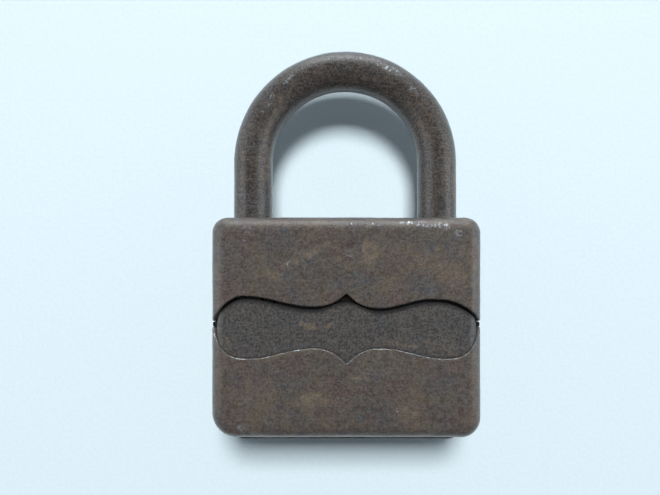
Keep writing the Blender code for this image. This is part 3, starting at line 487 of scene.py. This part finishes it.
def rounded_end(x, half_width, length, height):
    """A plate's height at x: full up to its last length, then a quarter ellipse."""
    share = max(0.0, abs(x) - (half_width - length)) / length
    return height * math.sqrt(max(0.0, 1 - share * share))


def band_span(x, half_width):
    """Low and high Y of a waist plate at x."""
    edge = SCROLLS[1][x > 0]
    above = scroll_height(1, x)
    if abs(x) < edge.valley_x:
        rise = BAND_HUMP + UPPER_LEFT.valley - edge.valley
        above = edge.valley + rise * (1 + math.cos(math.pi * x / edge.valley_x)) / 2
    above -= BAND_UPPER_GAP + BAND_END_RISE
    above = min(above, rounded_end(x, half_width, BAND_UPPER_ROUND, edge.swell))
    below = scroll_height(-1, x) - BAND_LOWER_GAP + BAND_END_RISE
    if abs(x) > half_width - BAND_LOWER_ROUND:
        below = min(below, rounded_end(x, half_width, BAND_LOWER_ROUND, LOWER_BOTH.swell))
    tip_y = WAIST_Y + BAND_END_RISE
    return tip_y - below, tip_y + above


def waist_plate(name, front):
    """Pressed plate that shows in the window, short of the body's sides."""
    half_width = HALF_WIDTH - BAND_END_GAP
    first = math.acos(1 - BAND_TIP / half_width)
    rings = []
    shares = []
    for i in range(BAND_COLUMNS + 1):
        turn = first + (math.pi - 2 * first) * i / BAND_COLUMNS
        x = -half_width * math.cos(turn)
        low, high = band_span(x, half_width)
        if high - low < BAND_NARROWEST:
            middle = (low + high) / 2
            low, high = middle - BAND_NARROWEST / 2, middle + BAND_NARROWEST / 2
        fall = min(BAND_EDGE_FALL, (high - low) / 3)
        flat = high - low - 2 * fall
        section = [(low + fall + flat * step / BAND_ROWS, 0.0) for step in range(BAND_ROWS + 1)]
        section += [(high - fall * 0.3, 0.3 * fall), (high, fall), (high, BAND_WALL), (low, BAND_WALL)]
        section += [(low, fall), (low + fall * 0.3, 0.3 * fall)]
        ring = []
        for y, depth in section:
            hollow = unevenness(Vector((x, y, THICKNESS)), BAND_HOLLOWS)
            z = plate_skin_z(x, BAND_RECESS + depth + hollow)
            ring.append((x, y, z if front else THICKNESS - z))
            rub_and_highlight = stain = slate = 0.0
            if front:
                rub_and_highlight = spot_share(BAND_RUBS, x, y)
                stain = spot_share(BAND_STAINS, x, y)
                slate = spot_share(BAND_SLATES, x, y)
            # painted shade along the plate's upper edge, in the gap under the upper shell's rim
            in_gap = 1 - eased(high - y - depth, *GAP_SHADE)
            shares.append((0.0, rub_and_highlight, stain, slate, in_gap))
        rings.append(ring if front else ring[::-1])
    plate = closed_rings(name, rings)
    mark(plate, shares)
    return plate


# Keyhole plate


def rounded_outline(half_x, half_z, radius, steps=8):
    outline = []
    for x, z, start in ((1, 1, 0), (-1, 1, 90), (-1, -1, 180), (1, -1, 270)):
        for step in range(steps + 1):
            angle = math.radians(start + 90 * step / steps)
            corner_x, corner_z = x * (half_x - radius), z * (half_z - radius)
            outline.append((corner_x + radius * math.cos(angle), corner_z + radius * math.sin(angle)))
    return outline


def keyhole_plate():
    """Flat plate let into the bottom of the lower shell, a little proud of it."""
    half_x, half_z = PLATE_HIGH.x, (PLATE_HIGH.z - PLATE_LOW.z) / 2
    rows = [(0.0, PLATE_HIGH.y)]
    for angle in QUARTER_TURN:
        inset = PLATE_ROUNDING * (1 - math.cos(angle))
        rows.append((inset, PLATE_LOW.y + PLATE_ROUNDING * (1 - math.sin(angle))))
    rings = []
    for inset, y in rows:
        outline = rounded_outline(half_x - inset, half_z - inset, PLATE_CORNER - inset)
        rings.append([(x, y, MID_Z + z) for x, z in outline])
    plate = closed_rings("fitted_keyhole_plate", rings)
    wall = PLATE_HIGH.y - PLATE_LOW.y
    mouth = (0, PLATE_LOW.y, MID_Z)
    cutters = [hole(PLUG_HOLE_RADIUS, PLATE_HOLE_ROUNDING, mouth, (0, -1, 0), 2 * wall)]
    for place in RIVET_PLACES:
        profile = [(RIVET_HOLE_RADIUS, -2 * wall), (RIVET_HOLE_RADIUS, -wall)]
        profile += [(COUNTERSINK_RADIUS, 0.0), (COUNTERSINK_RADIUS, CUT_PAST)]
        cutters.append(turned("countersink", profile, (place.x, PLATE_LOW.y, MID_Z), (0, -1, 0)))
    carve(plate, *cutters)
    return plate


def plate_rivet(name, place):
    """Countersunk rivet with a low, hammered head."""
    wall = PLATE_HIGH.y - PLATE_LOW.y
    low_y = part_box("plate_rivet_1")[0].y
    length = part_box("plate_rivet_1")[1].y - low_y
    profile = [(RIVET_RADIUS, -length), (RIVET_RADIUS, -wall)]
    profile += [(radius * MM, height * MM) for radius, height in RIVET_HEAD]
    return turned(name, profile, (place.x, low_y, MID_Z), (0, -1, 0), sides=RIVET_SIDES)


# Shackle


def bar_stations():
    """Centre of the bar and its outward side at even steps, from the heel over the bow to the toe."""
    stations = []
    toe_y = TOP_Y - TOE_LENGTH
    heel_steps = round((BOW_Y - HEEL_Y - LEG_CHAMFER) / BAR_STEP)
    for i in range(heel_steps):
        y = HEEL_Y + LEG_CHAMFER + (BOW_Y - HEEL_Y - LEG_CHAMFER) * i / heel_steps
        stations.append((Vector((-LEG_X, y, MID_Z)), Vector((-1, 0, 0))))
    bow_steps = round(math.pi * LEG_X / BAR_STEP)
    for i in range(bow_steps + 1):
        angle = math.pi * (1 - i / bow_steps)
        outward = Vector((math.cos(angle), math.sin(angle), 0))
        stations.append((Vector((0, BOW_Y, MID_Z)) + LEG_X * outward, outward))
    toe_steps = round((BOW_Y - toe_y - LEG_CHAMFER) / BAR_STEP)
    for i in range(1, toe_steps + 1):
        y = BOW_Y + (toe_y + LEG_CHAMFER - BOW_Y) * i / toe_steps
        stations.append((Vector((LEG_X, y, MID_Z)), Vector((1, 0, 0))))
    return stations


# Rubbed patches on the bow's top, laid where its highlights fall: worn metal and a painted highlight
BOW_RUBS_AND_HIGHLIGHTS = [
    Spot(-15.2, 26.5, 3.4, 0.9, 62, 0.85),
    Spot(-11.2, 31.6, 2.6, 0.7, 42, 0.85),
    Spot(0.5, 35.4, 6.5, 0.9, 0, 0.62),
    Spot(8.6, 33.6, 3.4, 0.9, -28, 0.9),
    Spot(13.0, 29.8, 2.6, 0.8, -48, 0.9),
    Spot(-17.6, 20.0, 1.4, 3.0, 0, 0.5),
    Spot(18.4, 14.0, 1.0, 4.0, 0, 0.45),
]
BAR_STAINS = [
    Spot(-12.5, 27.0, 3.0, 1.2, 60, 0.6),
    Spot(15.0, 24.0, 2.0, 5.0, 20, 0.55),
    Spot(22.0, 12.0, 0.8, 8.0, 0, 0.8),
    Spot(-15.6, 17.0, 0.6, 6.0, 0, 0.7),
    Spot(3.0, 31.8, 6.0, 0.8, 0, 0.5),
]
BAR_SLATES = [
    Spot(-18.7, 7.0, 4.2, 3.4, 0, 0.8),
    Spot(18.7, 6.0, 4.2, 2.6, 0, 0.6),
    Spot(0.0, 37.4, 9.0, 0.8, 0, 0.5),
]


def bent_bar():
    """The shackle: a round bar bent to a half circle, with its heel necked, flatted and drilled."""
    stations = bar_stations()
    toe_y = TOP_Y - TOE_LENGTH
    ends = (
        (Vector((-LEG_X, HEEL_Y, MID_Z)), stations[0][1], BAR_RADIUS - LEG_CHAMFER),
        (Vector((LEG_X, toe_y, MID_Z)), stations[-1][1], BAR_RADIUS - LEG_CHAMFER),
    )
    sections = [ends[0]] + [(centre, outward, BAR_RADIUS) for centre, outward in stations] + [ends[1]]
    rings = []
    shares = []
    for centre, outward, radius in sections:
        ring = []
        for side in range(BAR_SIDES):
            angle = 2 * math.pi * side / BAR_SIDES
            facing = math.cos(angle) * outward + math.sin(angle) * Vector((0, 0, 1))
            hollow = unevenness(centre + radius * facing, BAR_HOLLOWS)
            point = centre + (radius - hollow) * facing
            ring.append(point)
            # on the bow's top the rub marks are worn metal and a painted highlight
            rub_and_highlight = spot_share(BOW_RUBS_AND_HIGHLIGHTS, point.x, point.y) if facing.z > BAR_TOP_FACING else BAR_UNDER_RUB
            stain = spot_share(BAR_STAINS, point.x, point.y)
            slate = spot_share(BAR_SLATES, point.x, point.y)
            shares.append((0.0, rub_and_highlight, stain, slate, 0.0))
        rings.append(ring)
    bar = closed_rings("bent_bar_shackle", rings)
    mark(bar, shares)
    neck_low, neck_high = HEEL_Y + HEEL_HEAD, HEEL_Y + HEEL_HEAD + HEEL_NECK
    flat_x, flat_end = BAR_RADIUS - HEEL_FLAT_DEPTH - LEG_X, HEEL_Y + HEEL_HEAD + HEEL_FLAT_LENGTH
    cut_low, cut_high = MID_Z - 2 * BAR_RADIUS, MID_Z + 2 * BAR_RADIUS
    flat = block((flat_x, neck_low, cut_low), (flat_x + FLAT_CUT, flat_end, cut_high))
    cutters = [flat, neck_ring(neck_low, neck_high)]
    drilling = (-LEG_X, HEEL_Y, MID_Z)
    cutters.append(hole(HEEL_DRILLING_RADIUS, MOUTH_ROUNDING, drilling, (0, -1, 0), HEEL_DRILLING_DEPTH))
    for side in (-1, 1):
        mouth = (side * (LEG_X - BAR_RADIUS), BOLT_Y, MID_Z)
        depth = BOLT_POCKET_DEPTH + MOUTH_ROUNDING
        cutters.append(hole(BOLT_POCKET_RADIUS, MOUTH_ROUNDING, mouth, (-side, 0, 0), depth))
    carve(bar, *cutters)
    return bar


def neck_ring(low, high):
    """Ring that cuts the neck above the heel's head."""
    inner, outer = BAR_RADIUS - HEEL_FLAT_DEPTH, 2 * BAR_RADIUS
    points = []
    for radius, y in ((inner, low), (outer, low), (outer, high), (inner, high)):
        for side in range(BAR_SIDES):
            angle = 2 * math.pi * side / BAR_SIDES
            points.append((radius * math.cos(angle) - LEG_X, y, MID_Z + radius * math.sin(angle)))
    return new_piece("neck ring", points, woven_faces(4, BAR_SIDES, wrap_rows=True))


# Bolt springs


def wound_spring(name, low, high):
    """Spring of round wire that fills a box along X."""
    mean_radius = (high.z - low.z) / 2 - SPRING_WIRE
    steps = SPRING_TURNS * TURN_STEPS
    start, end = low.x + SPRING_WIRE, high.x - SPRING_WIRE
    rings = []
    for i in range(steps + 1):
        angle = 2 * math.pi * i / TURN_STEPS
        outward = Vector((0, math.cos(angle), math.sin(angle)))
        centre = Vector((start + (end - start) * i / steps, BOLT_Y, MID_Z)) + mean_radius * outward
        ring = []
        for side in range(WIRE_SIDES):
            around = 2 * math.pi * side / WIRE_SIDES
            facing = math.cos(around) * outward - math.sin(around) * Vector((1, 0, 0))
            ring.append(centre + SPRING_WIRE * facing)
        rings.append(ring)
    return closed_rings(name, rings)


def make_bolt_springs():
    """The two springs round the bolts."""
    for node, side in (("toe_bolt_spring", 1), ("heel_bolt_spring", -1)):
        low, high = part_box(node)
        spring = wound_spring("wound_" + node, low, high)
        finish_piece(spring, SPRING_STEEL, "case", "spring_steel", node)
        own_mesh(spring)


# Finishes

# Sockets of Blender's Mix node
MIX_SHARE, NUMBER_A, NUMBER_B, COLOUR_A, COLOUR_B = 0, 2, 3, 6, 7
MIXED_NUMBER, MIXED_COLOUR = 0, 2
SCRATCH_BORDER = 0.05  # of the noise, between no scratch and a whole one
SCRATCH_WIDTH = 0.16  # millimetres: wider than real ones, so that they show


def linear(hex_colour):
    """Linear colour, with full alpha, of an sRGB hex value."""
    channels = [int(hex_colour[i : i + 2], 16) / 255 for i in (1, 3, 5)]
    return (*[c / 12.92 if c <= 0.04045 else ((c + 0.055) / 1.055) ** 2.4 for c in channels], 1.0)


def add(tree, kind, inputs, **settings):
    """A node with its settings. Each input is given a value, or a socket to be linked to."""
    node = tree.nodes.new(kind)
    for name, value in settings.items():
        setattr(node, name, value)
    for key, value in inputs.items():
        if isinstance(value, bpy.types.NodeSocket):
            tree.links.new(value, node.inputs[key])
        else:
            node.inputs[key].default_value = value
    return node


def patches(tree, place, size_mm, low, high, detail=3.0):
    """Mask of irregular patches about size_mm across: 0 where the noise is below low, 1 above high."""
    pattern = {"Vector": place, "Scale": 1 / (size_mm * MM), "Detail": detail, "Roughness": 0.6}
    cloud = add(tree, "ShaderNodeTexNoise", pattern).outputs[0]
    return add(tree, "ShaderNodeMapRange", {"Value": cloud, "From Min": low, "From Max": high}).outputs[0]


def scratches(tree, place, turn_deg, length_mm, width_mm, low):
    """Mask of fine scratches along one way."""
    size = (1 / (length_mm * MM), 1 / (width_mm * MM), 1 / (length_mm * MM))
    turn = (0, 0, math.radians(turn_deg))
    along = add(tree, "ShaderNodeMapping", {"Vector": place, "Rotation": turn, "Scale": size}).outputs[0]
    lines = add(tree, "ShaderNodeTexNoise", {"Vector": along, "Scale": 1.0, "Detail": 1.0}).outputs[0]
    border = {"Value": lines, "From Min": low, "From Max": low + SCRATCH_BORDER}
    return add(tree, "ShaderNodeMapRange", border).outputs[0]


def product(tree, *masks):
    result = masks[0]
    for mask in masks[1:]:
        result = add(tree, "ShaderNodeMath", {0: result, 1: mask}, operation="MULTIPLY").outputs[0]
    return result


def broken_up(tree, share, grain, low, high):
    """Mask where a marked share is high, with its border broken up by a grain."""
    total = add(tree, "ShaderNodeMath", {0: share, 1: grain}, operation="ADD").outputs[0]
    return add(tree, "ShaderNodeMapRange", {"Value": total, "From Min": low, "From Max": high}).outputs[0]


def layered_colour(tree, base, *layers):
    """Colour built up from a base by laying (mask, colour) over it in turn."""
    colour = linear(base)
    for mask, over in layers:
        inputs = {MIX_SHARE: mask, COLOUR_A: colour, COLOUR_B: linear(over)}
        colour = add(tree, "ShaderNodeMix", inputs, data_type="RGBA").outputs[MIXED_COLOUR]
    return colour


def layered_level(tree, base, *layers):
    """Number built up in the same way, for roughness, metallic or height."""
    level = base
    for mask, over in layers:
        inputs = {MIX_SHARE: mask, NUMBER_A: level, NUMBER_B: over}
        level = add(tree, "ShaderNodeMix", inputs).outputs[MIXED_NUMBER]
    return level


def new_finish(name):
    """A material, its node tree, its shader and the place on the piece as it lies at rest."""
    material = bpy.data.materials.new(name)
    material.use_nodes = True
    tree = material.node_tree
    place = add(tree, "ShaderNodeTexCoord", {}).outputs["Object"]
    return material, tree, tree.nodes["Principled BSDF"], place


def connect(tree, shader, colour, metallic, roughness, height, relief_mm):
    """Links a finish's colour, metallic, roughness and relief to its shader."""
    bump = add(tree, "ShaderNodeBump", {"Height": height, "Distance": relief_mm * MM, "Strength": 1.0})
    for name, value in (("Base Color", colour), ("Metallic", metallic), ("Roughness", roughness)):
        if isinstance(value, bpy.types.NodeSocket):
            tree.links.new(value, shader.inputs[name])
        else:
            shader.inputs[name].default_value = value
    tree.links.new(bump.outputs[0], shader.inputs["Normal"])


def browned_steel(name, brown, warm, ruddy_brown, slate, dark, roughness):
    """Drawn, pressed or bent steel, browned by rust and rubbed by years of handling: an uneven dark brown
    skin that is warmer where rust has bloomed, blue-grey where the old blueing is left, and bright on worn
    edges. A shell's rim and the bow's rubbed top also carry a painted highlight. The insides of the shells
    and the waist plates' upper edges carry a painted shade."""
    material, tree, shader, place = new_finish(name)
    marks = [add(tree, "ShaderNodeAttribute", {}, attribute_name=mark_name) for mark_name in MARKS]
    rim, rub_and_highlight, stain, slate_share, painted_shade = [attribute.outputs["Fac"] for attribute in marks]
    broad = patches(tree, place, 7.0, 0.40, 0.62, detail=6.0)
    cloudy = patches(tree, place, 3.0, 0.42, 0.62, detail=7.0)
    ruddy = patches(tree, place, 4.3, 0.48, 0.64, detail=6.0)
    mottle = patches(tree, place, 1.3, 0.40, 0.62, detail=7.0)
    grain = patches(tree, place, 0.38, 0.42, 0.60, detail=4.0)
    pits = patches(tree, place, 0.5, 0.66, 0.72, detail=2.0)
    specks = patches(tree, place, 0.36, 0.70, 0.76, detail=1.0)
    rust = broken_up(tree, stain, mottle, 0.85, 1.75)
    blued = broken_up(tree, slate_share, cloudy, 0.95, 1.7)
    worn = broken_up(tree, rub_and_highlight, patches(tree, place, 0.65, 0.38, 0.68, detail=5.0), 1.30, 1.85)
    haze_and_highlight = broken_up(tree, rub_and_highlight, cloudy, 0.9, 2.2)
    fine_lines = scratches(tree, place, 31, 5.0, SCRATCH_WIDTH, 0.66)
    fine_lines = product(tree, fine_lines, patches(tree, place, 4.0, 0.45, 0.55))
    cross_lines = scratches(tree, place, -52, 4.0, SCRATCH_WIDTH, 0.66)
    cross_lines = product(tree, cross_lines, patches(tree, place, 5.0, 0.5, 0.6))
    # bright line along a shell's rim: worn metal and a painted highlight
    rim_line_wear_and_highlight = broken_up(tree, rim, mottle, 1.05, 1.5)
    colour = layered_colour(
        tree,
        brown,
        (product(tree, broad, 0.6), slate),
        (product(tree, cloudy, 0.6), warm),
        (product(tree, ruddy, 0.6), ruddy_brown),
        (product(tree, mottle, 0.6), dark),
        (product(tree, blued, 0.7), slate),
        (product(tree, rust, 0.55), "#857058"),
        (product(tree, grain, 0.38), "#8f867c"),
        (product(tree, pits, 0.5), "#1d1918"),
        (product(tree, specks, 0.25), "#a8a097"),
        (product(tree, fine_lines, 0.35), "#a3978a"),
        (product(tree, cross_lines, 0.35), "#a3978a"),
        # rubbed metal as grey haze and bright wear; on the bow's top they are also a painted highlight
        (product(tree, haze_and_highlight, 0.5), "#7f7d7c"),
        (worn, "#d2d3d6"),
        (rim_line_wear_and_highlight, "#b5b4b2"),
        # painted shade: insides of the shells, and the waist plates' upper edges under the upper shell's rim
        (product(tree, painted_shade, 0.85), "#1c1a1a"),
    )
    dull = (grain, roughness + 0.10)
    rough = layered_level(tree, roughness, dull, (rust, 0.62), (worn, 0.32), (rim_line_wear_and_highlight, 0.34))
    metallic = layered_level(tree, 0.5, (rust, 0.3), (worn, 1.0), (rim_line_wear_and_highlight, 1.0))
    height = layered_level(tree, 0.5, (mottle, 0.62), (grain, 0.75), (pits, 0.0), (fine_lines, 0.2))
    connect(tree, shader, colour, metallic, rough, height, 0.045)
    shader.inputs["Coat Weight"].default_value = 0.5
    shader.inputs["Coat Roughness"].default_value = 0.35
    shader.inputs["Sheen Weight"].default_value = 0.25
    shader.inputs["Sheen Roughness"].default_value = 0.35
    shader.inputs["Sheen Tint"].default_value = linear("#d5e6f5")
    return material


def cast_case_steel():
    """Cast steel under old oil and dust: black-brown and matt, with the fine bumps of the sand mould."""
    material, tree, shader, place = new_finish("oxidised cast steel")
    sand = patches(tree, place, 0.35, 0.30, 0.70)
    oil = patches(tree, place, 4.0, 0.40, 0.62)
    colour = layered_colour(tree, "#2b2622", (oil, "#1b1817"), (product(tree, sand, 0.4), "#4b413a"))
    rough = layered_level(tree, 0.72, (oil, 0.5))
    connect(tree, shader, colour, 0.6, rough, sand, 0.06)
    return material


def tarnished_brass():
    """Turned brass gone brown: yellow metal with a fine grain under a patchy brown tarnish."""
    material, tree, shader, place = new_finish("tarnished turned brass")
    tarnish = patches(tree, place, 3.0, 0.38, 0.64)
    spots = patches(tree, place, 0.5, 0.60, 0.70)
    grain = patches(tree, place, 0.12, 0.30, 0.70, detail=1.0)
    stains = ((product(tree, tarnish, 0.75), "#76603a"), (product(tree, spots, 0.6), "#453522"))
    colour = layered_colour(tree, "#b7975a", *stains)
    rough = layered_level(tree, 0.34, (tarnish, 0.5), (spots, 0.6))
    connect(tree, shader, colour, 1.0, rough, grain, 0.004)
    return material


def turned_steel():
    """Free-cutting steel straight from the lathe, oiled: light grey and bright, with a few brown stains."""
    material, tree, shader, place = new_finish("oiled turned steel")
    film = patches(tree, place, 2.0, 0.42, 0.66)
    grain = patches(tree, place, 0.12, 0.30, 0.70, detail=1.0)
    colour = layered_colour(tree, "#b9b8b5", (product(tree, film, 0.6), "#857c70"))
    rough = layered_level(tree, 0.27, (film, 0.42))
    connect(tree, shader, colour, 1.0, rough, grain, 0.004)
    return material


def spring_wire():
    """Hard-drawn wire, blued by its tempering: dark grey-blue with a soft gloss along the coils."""
    material, tree, shader, place = new_finish("blued spring wire")
    film = patches(tree, place, 0.8, 0.40, 0.66)
    colour = layered_colour(tree, "#5b6470", (film, "#7a6a58"))
    rough = layered_level(tree, 0.32, (film, 0.45))
    connect(tree, shader, colour, 1.0, rough, film, 0.004)
    return material


SHELL_COLOURS = ("#665a54", "#786950", "#6b5150", "#50555e", "#403a38")
BAND_COLOURS = ("#545150", "#5b554d", "#544a4b", "#4c5057", "#363434")
BAR_COLOURS = ("#453d3a", "#53473d", "#4b3d3c", "#3e4349", "#2b2726")
SHELL_STEEL = browned_steel("browned drawn sheet steel", *SHELL_COLOURS, roughness=0.46)
BAND_STEEL = browned_steel("browned pressed plate steel", *BAND_COLOURS, roughness=0.46)
BAR_STEEL = browned_steel("rubbed browned bar steel", *BAR_COLOURS, roughness=0.36)
CAST_STEEL = cast_case_steel()
BRASS = tarnished_brass()
BRIGHT_STEEL = turned_steel()
SPRING_STEEL = spring_wire()


def make_body():
    # The upper shell's rim faces away from the light and gets less of the painted highlight than the lower
    # shell's
    upper = drawn_shell("drawn_upper_shell", 1, 0.3, UPPER_STAINS, UPPER_RUBS, UPPER_SLATES)
    cutters = []
    for side in (-1, 1):
        mouth = (side * LEG_X, TOP_Y, MID_Z)
        cutters.append(hole(LEG_HOLE_RADIUS, LEG_HOLE_ROUNDING, mouth, (0, 1, 0), TOP_CUT_DEPTH))
    carve(upper, *cutters)
    finish_piece(upper, SHELL_STEEL, "case", "browned_steel", "upper_shell")

    lower = drawn_shell("drawn_lower_shell", -1, 0.9, LOWER_STAINS, LOWER_RUBS, LOWER_SLATES)
    half_x, half_z = PLATE_HIGH.x + PLATE_SEAT_GAP, (PLATE_HIGH.z - PLATE_LOW.z) / 2 + PLATE_SEAT_GAP
    seat = rounded_outline(half_x, half_z, PLATE_CORNER)
    seat_y = PLATE_HIGH.y + PLATE_SEAT_GAP
    rings = [[(x, y, MID_Z + z) for x, z in seat] for y in (seat_y, PLATE_LOW.y - CUT_PAST)]
    cutters = [closed_rings("plate seat", rings)]
    holes = [(0, PLUG_HOLE_RADIUS)] + [(place.x, RIVET_HOLE_RADIUS) for place in RIVET_PLACES]
    for x, radius in holes:
        mouth = (x, PLATE_LOW.y, MID_Z)
        cutters.append(hole(radius, BOTTOM_HOLE_ROUNDING, mouth, (0, -1, 0), BOTTOM_CUT_DEPTH))
    carve(lower, *cutters)
    finish_piece(lower, SHELL_STEEL, "case", "browned_steel", "lower_shell")

    for name, front in (("front_waist_plate", True), ("rear_waist_plate", False)):
        plate = waist_plate("pressed_" + name, front)
        finish_piece(plate, BAND_STEEL, "case", "browned_steel", name)
    finish_piece(keyhole_plate(), SHELL_STEEL, "case", "browned_steel", "keyhole_plate")
    for number, place in enumerate(RIVET_PLACES, start=1):
        rivet = plate_rivet(f"hammered_plate_rivet_{number}", place)
        finish_piece(rivet, SHELL_STEEL, "case", "browned_steel", f"plate_rivet_{number}")


def finish_cad_nodes():
    """Gives each piece kept from the CAD its finish. Rivets and the retaining pin look like the case: near
    black, as painted shade where they show in the gaps.
    """
    finishes = (
        # painted shade: rivets and the retaining pin share the near-black case finish, so they go dark in the
        # gaps
        (CAST_STEEL, ("case_back", "case_front", "case_rivet", "retaining_pin")),
        (BRASS, ("cylinder_housing", "chamber_cover", "plug", "key_pin")),
        (SPRING_STEEL, ("spring", "plug_clip")),
        (BRIGHT_STEEL, ("bolt", "cam_spindle", "driver_pin", "screw")),
    )
    for name, node in NODES.items():
        for finish, parts in finishes:
            if any(part in name for part in parts):
                for material_slot in node.material_slots:
                    material_slot.material = finish
                break


# Stage

FLOOR_REACH = 2.0
WINDOW = ((0.03, 0.70, 1.22), 0.40, 21.5)  # place and size in metres, and power in watts
WINDOW_COLOUR = (0.96, 0.99, 1.0)
WALLS = (
    ("far wall", (0.0, 1.3, 0.38), 8.5),
    ("left wall", (-1.1, 0.1, 0.75), 3.6),
    ("right wall", (1.1, 0.1, 0.75), 4.5),
)
WALL_SIZE = 0.9
WALL_COLOUR = (0.84, 0.93, 1.0)
ROOM_DIM = (0.16, 0.18, 0.20, 1.0)
ROOM_BRIGHT = (0.76, 0.90, 1.0, 1.0)
ROOM_STRENGTH = 0.65
CAMERA_SENSOR = 36.0  # width in millimetres, as Blender wants it
CAMERA_LENS = 26.9  # in millimetres
CAMERA_NEAREST = 0.005
CAMERA_PLACE = (-3.06 * MM, -1.68 * MM, 110.8 * MM)


def add_light(name, place, size, power, colour):
    """A square soft light that faces the middle of the lock."""
    light = bpy.data.lights.new(name, "AREA")
    light.size = size
    light.energy = power
    light.color = colour
    obj = bpy.data.objects.new(name, light)
    obj.location = place
    obj.rotation_euler = (Vector((0, 0, MID_Z)) - Vector(place)).to_track_quat("-Z", "Y").to_euler()
    bpy.context.scene.collection.objects.link(obj)
    return obj


def make_floor():
    corners = [(x * FLOOR_REACH, y * FLOOR_REACH, 0) for x, y in ((-1, -1), (1, -1), (1, 1), (-1, 1))]
    floor = new_piece("pale_floor", corners, [(0, 1, 2, 3)])
    material, tree, shader, place = new_finish("pale matt board")
    fibre = patches(tree, place, 0.8, 0.35, 0.65)
    colour = layered_colour(tree, "#e2f0f6", (product(tree, fibre, 0.3), "#d8e7ef"))
    connect(tree, shader, colour, 0.0, 0.9, fibre, 0.02)
    floor.data.materials.append(material)


def make_lights():
    """The window gives the light and the shadows, and the walls give only the soft highlights."""
    window = add_light("window", *WINDOW, WINDOW_COLOUR)
    window.visible_glossy = False
    for name, place, power in WALLS:
        wall = add_light(name, place, WALL_SIZE, power, WALL_COLOUR)
        wall.visible_diffuse = False


def make_room():
    """Faint light from all round the lock, stronger and bluer low down at its far side."""
    world = bpy.data.worlds.new("soft room")
    world.use_nodes = True
    tree = world.node_tree
    way = add(tree, "ShaderNodeTexCoord", {}).outputs["Generated"]
    parts = add(tree, "ShaderNodeSeparateXYZ", {0: way}).outputs
    low_down = {"Value": parts["Z"], "From Min": 0.60, "From Max": 0.25}
    low_down = add(tree, "ShaderNodeMapRange", low_down).outputs[0]
    away = {"Value": parts["Y"], "From Min": -0.8, "From Max": 0.1}
    away = add(tree, "ShaderNodeMapRange", away).outputs[0]
    glow = {MIX_SHARE: product(tree, low_down, away), COLOUR_A: ROOM_DIM, COLOUR_B: ROOM_BRIGHT}
    colour = add(tree, "ShaderNodeMix", glow, data_type="RGBA").outputs[MIXED_COLOUR]
    tree.links.new(colour, tree.nodes["Background"].inputs["Color"])
    tree.nodes["Background"].inputs["Strength"].default_value = ROOM_STRENGTH
    bpy.context.scene.world = world
    bpy.context.scene.view_settings.view_transform = "Standard"


def make_camera():
    camera = bpy.data.cameras.new("camera")
    camera.sensor_width = CAMERA_SENSOR
    camera.lens = CAMERA_LENS
    camera.clip_start = CAMERA_NEAREST
    obj = bpy.data.objects.new("camera", camera)
    obj.location = CAMERA_PLACE
    bpy.context.scene.collection.objects.link(obj)
    bpy.context.scene.camera = obj


make_body()
shackle = bent_bar()
finish_piece(shackle, BAR_STEEL, "shackle", "browned_bar_steel", "shackle")
make_bolt_springs()
finish_cad_nodes()
make_floor()
make_lights()
make_room()
make_camera()
